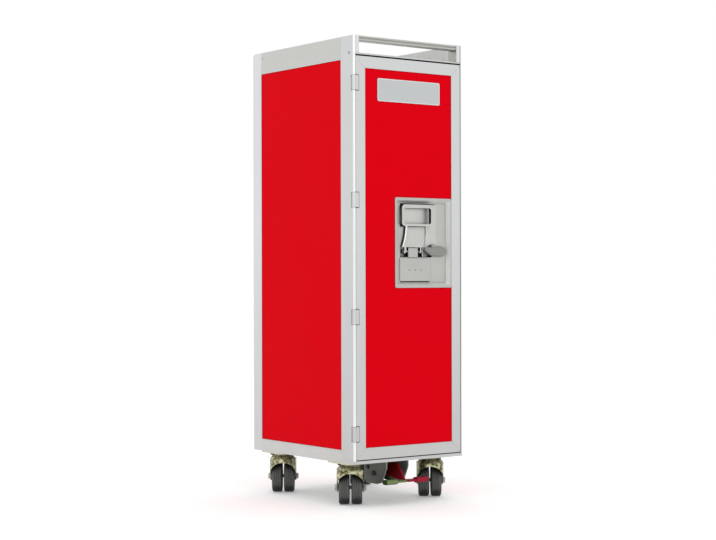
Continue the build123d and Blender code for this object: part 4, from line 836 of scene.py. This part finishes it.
# Neck edge: the flared side of the neck, rolled into a bead as it was cast. It is what the fingers rub most,
# and the rubbed nickel's lighter tone paints a bright highlight along it.
BEAD_RADIUS_MM = 2.5
BEAD_FLATNESS = 0.5
BEAD_STEPS = 16
BEAD_SIDES = 12
FLARE_TOP_MM = (11.6, 43.5)
FLARE_FOOT_MM = (1.2, 15.0)
PLATE_FRONT_MM = 3.2
bead_top = Vector((handle_low.x + FLARE_TOP_MM[0] * MM, handle_high.z - FLARE_TOP_MM[1] * MM))
bead_foot = Vector((handle_low.x + FLARE_FOOT_MM[0] * MM, handle_low.z + FLARE_FOOT_MM[1] * MM))
bead_turn = 2 * atan2(bead_top.x - bead_foot.x, bead_top.y - bead_foot.y)
bead_arc = (bead_top.y - bead_foot.y) / sin(bead_turn)
bead = bmesh.new()
bead_rings = []
for step in range(BEAD_STEPS + 1):
    angle = bead_turn * step / BEAD_STEPS
    middle = Vector(
        (
            bead_top.x - bead_arc * (1 - cos(angle)) + BEAD_RADIUS_MM * MM * cos(angle),
            handle_low.y + PLATE_FRONT_MM * MM,
            bead_top.y - bead_arc * sin(angle) + BEAD_RADIUS_MM * MM * sin(angle),
        )
    )
    outward = Vector((cos(angle), 0, sin(angle)))
    ring = []
    for i in range(BEAD_SIDES):
        turn = tau * i / BEAD_SIDES
        spoke = outward * cos(turn) + Vector((0, 1, 0)) * sin(turn) * BEAD_FLATNESS
        ring.append(bead.verts.new(middle + spoke * BEAD_RADIUS_MM * MM))
    bead_rings.append(ring)
for ring, following in zip(bead_rings, bead_rings[1:]):
    for i in range(BEAD_SIDES):
        j = (i + 1) % BEAD_SIDES
        bead.faces.new((ring[i], ring[j], following[j], following[i]))
bead.faces.new(bead_rings[0])
bead.faces.new(bead_rings[-1])
bmesh.ops.recalc_face_normals(bead, faces=bead.faces)
place("neck_edge_bead", bead, "pull_handle", [rubbed_highlight_nickel])

# Turn lever: a flat zinc casting with a soft edge, painted grey. It is fixed to a spindle that goes through
# the pan to the crank behind it.
# Stove paint: smooth and half matt, with the faint pebble of a sprayed coat.
PEBBLE_MM = 1.4
PEBBLE_DEPTH_MM = 0.1
LEVER_ROUND_MM = 1.2
grey_paint = new_material("grey_stove_paint")
pebble_place = add_node(grey_paint, "ShaderNodeTexCoord").outputs["Object"]
pebble = add_node(grey_paint, "ShaderNodeTexNoise", {"Vector": pebble_place, "Scale": per_metre(PEBBLE_MM)})
pebble_tone = add_node(
    grey_paint,
    "ShaderNodeMix",
    {"Factor": pebble.outputs["Fac"], COLOUR_A: linear("#82847e"), COLOUR_B: linear("#8f918b")},
    data_type="RGBA",
)
pebble_relief = add_node(
    grey_paint,
    "ShaderNodeBump",
    {"Height": pebble.outputs["Fac"], "Strength": 0.1, "Distance": PEBBLE_DEPTH_MM * MM},
)
finish_material(
    grey_paint,
    Base_Color=pebble_tone.outputs[COLOUR_OUT],
    Roughness=0.5,
    Normal=pebble_relief.outputs["Normal"],
)
finish_node("turn_lever", [grey_paint], LEVER_ROUND_MM, segments=3)

# Caster plates: thick steel plates under the corners of the base, each with its race and kingpin. A dark
# hexagon screw shows at the outer edge of each plate.
# Yellow zinc: passivated plating that dries in blotches from olive to pale brass, with painted shade in its
# gaps.
BLOTCH_MM = 9.0
BLOTCH_SPREAD = (0.35, 0.65)
SPECK_MM = 2.0


def yellow_zinc(name, dark, light, shade_mm=FITTING_SHADE_MM, shade_colour="#1f1d14", openness=GAPS_ONLY):
    """Passivated zinc between two tones, going over to painted shade."""
    material = new_material(name)
    place_in_frame = add_node(material, "ShaderNodeTexCoord").outputs["Object"]
    blotch = add_node(
        material,
        "ShaderNodeTexNoise",
        {"Vector": place_in_frame, "Scale": per_metre(BLOTCH_MM), "Detail": 3.0},
    )
    speck = add_node(material, "ShaderNodeTexNoise", {"Vector": place_in_frame, "Scale": per_metre(SPECK_MM)})
    spread = add_node(
        material,
        "ShaderNodeMapRange",
        {"Value": blotch.outputs["Fac"], "From Min": BLOTCH_SPREAD[0], "From Max": BLOTCH_SPREAD[1]},
    )
    tone = add_node(
        material,
        "ShaderNodeMix",
        {"Factor": spread.outputs["Result"], COLOUR_A: linear(dark), COLOUR_B: linear(light)},
        data_type="RGBA",
    )
    gloss = add_node(
        material,
        "ShaderNodeMapRange",
        {
            "Value": speck.outputs["Fac"],
            "From Min": NOISE_LOW,
            "From Max": NOISE_HIGH,
            "To Min": 0.25,
            "To Max": 0.42,
        },
    )
    return finish_material(
        material,
        Base_Color=with_painted_shade(material, tone.outputs[COLOUR_OUT], shade_mm, shade_colour, openness),
        Metallic=1.0,
        Roughness=gloss.outputs["Result"],
    )


PLATE_ROUND_MM = 0.6
PLATE_THICK = 4.0 * MM
PLATE_SCREW_MM = [(0, 4.2), (2.6, 4.2), (3.2, 3.4), (3.2, 0)]
PLATE_SCREW_FROM_EDGE = 4.8 * MM
finish_node("caster_plates", [yellow_zinc("pale_yellow_zinc", "#bdb9a2", "#d3d0bf")], PLATE_ROUND_MM)
plates_low, plates_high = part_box("caster_plates")
swivels = {
    name.removeprefix("swivel_"): joint for name, joint in joints.items() if name.startswith("swivel_")
}
for corner, swivel in swivels.items():
    swivel_x, swivel_y = swivel["pos_m"][:2]
    edge = plates_high.x if swivel_x > 0 else plates_low.x
    inward = -1 if swivel_x > 0 else 1
    place(
        f"plate_screw_{corner}",
        turned(
            PLATE_SCREW_MM,
            (edge + inward * PLATE_SCREW_FROM_EDGE, swivel_y, plates_high.z - PLATE_THICK),
            (0, 0, -1),
            sides=6,
        ),
        "cabinet",
        [black_steel],
    )

# Forks: pressed steel crowns with two legs that swivel on the kingpins. They are passivated yellow, which
# comes out in olive and brass patches, and painted shade darkens the crowns close under the cabinet.
FORK_ROUND_MM = 0.3
CROWN_SHADE_MM = 30.0
CROWN = (0.32, 0.8)
fork_zinc = yellow_zinc("olive_yellow_zinc", "#4c4d25", "#d0cdac", CROWN_SHADE_MM, "#23260d", CROWN)
for corner in swivels:
    finish_node(f"fork_{corner}", [fork_zinc], FORK_ROUND_MM)

# Axles: steel bolts, bright zinc, put through both legs of a fork and the two wheels between them. A hexagon
# head closes one end and a nut the other.
AXLE_ROUND_MM = 0.5
for corner in swivels:
    finish_node(f"axle_{corner}", [bright_zinc], AXLE_ROUND_MM)

# Wheels: two to a fork, each a moulded nylon hub, dished on the outer face, with a solid rubber tyre bonded
# round it. The tyre has round shoulders and three fine grooves.
# Moulded nylon: a dull, slightly waxy grey.
NYLON_MM = 5.0
HUB_ROUND_MM = 0.6
nylon = new_material("moulded_nylon")
nylon_place = add_node(nylon, "ShaderNodeTexCoord").outputs["Object"]
nylon_flow = add_node(nylon, "ShaderNodeTexNoise", {"Vector": nylon_place, "Scale": per_metre(NYLON_MM)})
nylon_tone = add_node(
    nylon,
    "ShaderNodeMix",
    {"Factor": nylon_flow.outputs["Fac"], COLOUR_A: linear("#6f716d"), COLOUR_B: linear("#7c7e7a")},
    data_type="RGBA",
)
finish_material(nylon, Base_Color=nylon_tone.outputs[COLOUR_OUT], Roughness=0.45)

# Grey rubber: matt, with dust in the grain of the tread. Painted shade turns it nearly black up in the arch
# of the fork.
TREAD_DUST_MM = 7.0
RUBBER_GRAIN_MM = 0.8
RUBBER_DEPTH_MM = 0.1
ARCH_MM = 24.0
ARCH = (0.45, 0.95)
grey_rubber = new_material("grey_rubber")
rubber_place = add_node(grey_rubber, "ShaderNodeTexCoord").outputs["Object"]
tread_dust = add_node(
    grey_rubber,
    "ShaderNodeTexNoise",
    {"Vector": rubber_place, "Scale": per_metre(TREAD_DUST_MM), "Detail": 3.0},
)
rubber_grain = add_node(
    grey_rubber,
    "ShaderNodeTexNoise",
    {"Vector": rubber_place, "Scale": per_metre(RUBBER_GRAIN_MM)},
)
rubber_tone = add_node(
    grey_rubber,
    "ShaderNodeMix",
    {"Factor": tread_dust.outputs["Fac"], COLOUR_A: linear("#4a4c49"), COLOUR_B: linear("#60625e")},
    data_type="RGBA",
)
rubber_relief = add_node(
    grey_rubber,
    "ShaderNodeBump",
    {"Height": rubber_grain.outputs["Fac"], "Strength": 0.2, "Distance": RUBBER_DEPTH_MM * MM},
)
finish_material(
    grey_rubber,
    Base_Color=with_painted_shade(grey_rubber, rubber_tone.outputs[COLOUR_OUT], ARCH_MM, "#0b0c0b", ARCH),
    Roughness=0.7,
    Normal=rubber_relief.outputs["Normal"],
)

TYRE_RADIUS_MM = 37.5
TYRE_BORE_MM = 26.0
TYRE_HALF_MM = 12.0
TYRE_SHOULDER_MM = 5.6
SHOULDER_STEPS = 6
GROOVES_MM = (-4.5, 0.0, 4.5)
GROOVE_HALF_MM = 0.5
GROOVE_DEPTH_MM = 0.6
shoulder = [
    (
        TYRE_HALF_MM - TYRE_SHOULDER_MM * (1 - cos(pi / 2 * i / SHOULDER_STEPS)),
        TYRE_RADIUS_MM - TYRE_SHOULDER_MM * (1 - sin(pi / 2 * i / SHOULDER_STEPS)),
    )
    for i in range(SHOULDER_STEPS + 1)
]
tread = []
for groove in GROOVES_MM:
    for offset, depth in ((-2, 0), (-1, GROOVE_DEPTH_MM), (1, GROOVE_DEPTH_MM), (2, 0)):
        tread.append((groove + offset * GROOVE_HALF_MM, TYRE_RADIUS_MM - depth))
tyre_profile = [(-TYRE_HALF_MM, TYRE_BORE_MM)] + [(-a, r) for a, r in shoulder] + tread
tyre_profile += shoulder[::-1] + [(TYRE_HALF_MM, TYRE_BORE_MM)]
spins = {name.removeprefix("spin_"): joint for name, joint in joints.items() if name.startswith("spin_")}
for wheel, spin in spins.items():
    finish_node(f"hub_{wheel}", [nylon], HUB_ROUND_MM)
    place(
        f"tyre_{wheel}_moulded",
        turned(tyre_profile, spin["pos_m"], spin["axis"], sides=72, closed=True),
        spin["child"],
        [grey_rubber],
        [f"tyre_{wheel}"],
    )

# Pedal bracket: folded steel with two shaped cheeks, painted dark grey and bolted under the base. A black
# shaft between the cheeks carries the pedals, and a zinc-plated rocker behind links their tails.
# Dip paint: dull, worn through to zinc on the edges and stained by the floor, with painted shade in its gaps.
STAIN_MM = 14.0
BRACKET_SHADE_MM = 20.0
BRACKET_ROUND_MM = 0.9
LINKAGE_ROUND_MM = 0.5
dark_paint = new_material("dark_dip_paint")
stain_place = add_node(dark_paint, "ShaderNodeTexCoord").outputs["Object"]
stain = add_node(
    dark_paint,
    "ShaderNodeTexNoise",
    {"Vector": stain_place, "Scale": per_metre(STAIN_MM), "Detail": 4.0},
)
stain_tone = add_node(
    dark_paint,
    "ShaderNodeMix",
    {"Factor": stain.outputs["Fac"], COLOUR_A: linear("#62655e"), COLOUR_B: linear("#868a81")},
    data_type="RGBA",
)
finish_material(
    dark_paint,
    Base_Color=with_painted_shade(dark_paint, stain_tone.outputs[COLOUR_OUT], BRACKET_SHADE_MM, "#0d0d0c"),
    Metallic=0.2,
    Roughness=0.55,
)
finish_node("pedal_bracket", [dark_paint, bright_zinc], BRACKET_ROUND_MM)
finish_node("pedal_shaft", [black_steel], LINKAGE_ROUND_MM)
finish_node("brake_rocker", [bright_zinc], LINKAGE_ROUND_MM)

# Cheek bolts: one steel bolt with a chamfered hexagon head, high on the outside of each cheek. They are
# blackened like the shaft and screwed into the folded bracket.
CHEEK_BOLT_MM = [(0, 4.5), (2.4, 4.5), (3.0, 3.7), (3.0, 0)]
CHEEK_BOLT_FROM_BACK = 15.0 * MM
CHEEK_BOLT_DROP = 23.0 * MM
bracket_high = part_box("pedal_bracket")[1]
for side, hand in ((-1, "left"), (1, "right")):
    place(
        f"cheek_bolt_{hand}",
        turned(
            CHEEK_BOLT_MM,
            (
                side * bracket_high.x,
                bracket_high.y - CHEEK_BOLT_FROM_BACK,
                bracket_high.z - CHEEK_BOLT_DROP,
            ),
            (side, 0, 0),
            sides=6,
        ),
        "cabinet",
        [black_steel],
    )

# Pedals: steel levers on one shaft, each with a web, a tread bar and a thicker pad. They are enamelled, red
# for the brake and green to let it go.
# Enamel: a thin even coat that has lost most of its gloss to people's feet.
SCUFF_MM = 6.0
UNDERSIDE_MM = 90.0
UNDERSIDE = (0.25, 0.55)
PEDAL_ROUND_MM = 0.4


def enamel(name, dark, light, shade_colour):
    """Scuffed enamel between two tones, going over to painted shade underneath."""
    material = new_material(name)
    place_in_frame = add_node(material, "ShaderNodeTexCoord").outputs["Object"]
    scuff = add_node(
        material,
        "ShaderNodeTexNoise",
        {"Vector": place_in_frame, "Scale": per_metre(SCUFF_MM), "Detail": 3.0},
    )
    tone = add_node(
        material,
        "ShaderNodeMix",
        {"Factor": scuff.outputs["Fac"], COLOUR_A: linear(dark), COLOUR_B: linear(light)},
        data_type="RGBA",
    )
    gloss = add_node(
        material,
        "ShaderNodeMapRange",
        {
            "Value": scuff.outputs["Fac"],
            "From Min": NOISE_LOW,
            "From Max": NOISE_HIGH,
            "To Min": 0.3,
            "To Max": 0.5,
        },
    )
    return finish_material(
        material,
        Base_Color=with_painted_shade(material, tone.outputs[COLOUR_OUT], UNDERSIDE_MM, shade_colour, UNDERSIDE),
        Roughness=gloss.outputs["Result"],
        Specular_IOR_Level=0.15,
    )


# Painted shade darkens the enamel underneath, under the base and between the cheeks.
finish_node("red_pedal", [enamel("red_enamel", "#96122c", "#a81834", "#6a0505")], PEDAL_ROUND_MM)

# Shaded enamel: a darker copy of the green coat on the faces that look to the left, painting the shade on
# them.
green_enamel = enamel("green_enamel", "#677a48", "#7d8f60", "#14240a")
shaded_green = enamel("shaded_green_enamel", "#2a4216", "#37501f", "#0c1605")
green_pedal = rounded_copy("green_pedal", PEDAL_ROUND_MM)
green_pedal.normal_update()
for face in green_pedal.faces:
    face.material_index = int(face.normal.x < -cos(SHARP_EDGE))
place(
    "green_pedal_finished",
    green_pedal,
    nodes["green_pedal"]["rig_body"],
    [green_enamel, shaded_green],
    ["green_pedal"],
)

# Stage: a pale floor under the trolley, white all round, and large soft lamps as in a product studio.
# The world and the floor look white to the camera and in reflections, and light the object more gently.
FLOOR_REACH = 30.0
FLOOR_LIFT = 0.22
WORLD_LIGHT = 0.92
SEEN_RAYS = ("Is Camera Ray", "Is Glossy Ray", "Is Transmission Ray")


def seen_directly(owner):
    """A socket that is 1 for camera, glossy and transmission rays, and 0 for light that falls on things."""
    rays = add_node(owner, "ShaderNodeLightPath")
    total = rays.outputs[SEEN_RAYS[0]]
    for name in SEEN_RAYS[1:]:
        either = add_node(owner, "ShaderNodeMath", {0: total, 1: rays.outputs[name]}, operation="MAXIMUM")
        total = either.outputs[0]
    return total


world = bpy.data.worlds.new("white_studio")
scene.world = world
world.use_nodes = True
world.node_tree.nodes.clear()
world_strength = add_node(
    world,
    "ShaderNodeMapRange",
    {"Value": seen_directly(world), "To Min": WORLD_LIGHT, "To Max": 1.0},
)
world_shader = add_node(
    world,
    "ShaderNodeBackground",
    {"Color": linear("#ffffff"), "Strength": world_strength.outputs["Result"]},
)
add_node(world, "ShaderNodeOutputWorld", {"Surface": world_shader.outputs["Background"]})

# Studio paper: matt white with no gloss, on which the trolley's soft shadow lies.
paper = new_material("white_studio_paper")
paper_lift = add_node(
    paper,
    "ShaderNodeMapRange",
    {"Value": seen_directly(paper), "To Min": 0.0, "To Max": FLOOR_LIFT},
)
finish_material(
    paper,
    Base_Color=linear("#eeeeee"),
    Roughness=0.9,
    Specular_IOR_Level=0.0,
    Emission_Color=linear("#ffffff"),
    Emission_Strength=paper_lift.outputs["Result"],
)
floor_corners = [(x * FLOOR_REACH, y * FLOOR_REACH, 0) for x, y in ((-1, -1), (1, -1), (1, 1), (-1, 1))]
floor_mesh = bpy.data.meshes.new("floor")
floor_mesh.from_pydata(floor_corners, [], [(0, 1, 2, 3)])
floor_mesh.materials.append(paper)
floor = bpy.data.objects.new("floor", floor_mesh)
scene.collection.objects.link(floor)

LAMP_AIM = Vector((0, 0, 0.5))
for name, at, size, watts in (
    ("front_softbox", (-2.4, -3.4, 2.4), 3.0, 24.0),
    ("top_softbox", (0.0, 0.0, 4.0), 3.0, 12.0),
    ("back_softbox", (2.4, 3.4, 2.4), 3.0, 20.0),
):
    lamp_data = bpy.data.lights.new(name, "AREA")
    lamp_data.shape = "SQUARE"
    lamp_data.size = size
    lamp_data.energy = watts
    lamp = bpy.data.objects.new(name, lamp_data)
    scene.collection.objects.link(lamp)
    lamp.location = at
    lamp.rotation_euler = (LAMP_AIM - lamp.location).to_track_quat("-Z", "Y").to_euler()

# Camera: level, at hip height, turned so that the hinge edge of the door is nearest. Its place, lens and
# shift put the corners of the body where the photograph has them.
NEAR_CORNER = Vector((-151.0, -202.5, 0)) * MM
CAMERA_HEADING = radians(36.275)
CAMERA_DISTANCE = 3532.2 * MM
CAMERA_HEIGHT = 506.4 * MM
CAMERA_ROLL = radians(0.13)
FOCAL_PX = 1634.0
CENTRE_PX = (354.51, 276.5)
IMAGE_PX = (716, 540)
camera_data = bpy.data.cameras.new("camera")
camera = bpy.data.objects.new("camera", camera_data)
scene.collection.objects.link(camera)
scene.camera = camera
ahead = Vector((sin(CAMERA_HEADING), cos(CAMERA_HEADING), 0))
camera.location = NEAR_CORNER - ahead * CAMERA_DISTANCE + Vector((0, 0, CAMERA_HEIGHT))
camera.rotation_euler = (pi / 2, CAMERA_ROLL, -CAMERA_HEADING)
camera_data.sensor_width = 36.0
camera_data.lens = FOCAL_PX * camera_data.sensor_width / IMAGE_PX[0]
camera_data.shift_x = (IMAGE_PX[0] / 2 - CENTRE_PX[0]) / IMAGE_PX[0]
camera_data.shift_y = (CENTRE_PX[1] - IMAGE_PX[1] / 2) / IMAGE_PX[0]
camera_data.clip_end = 100.0

scene.view_settings.view_transform = "Standard"
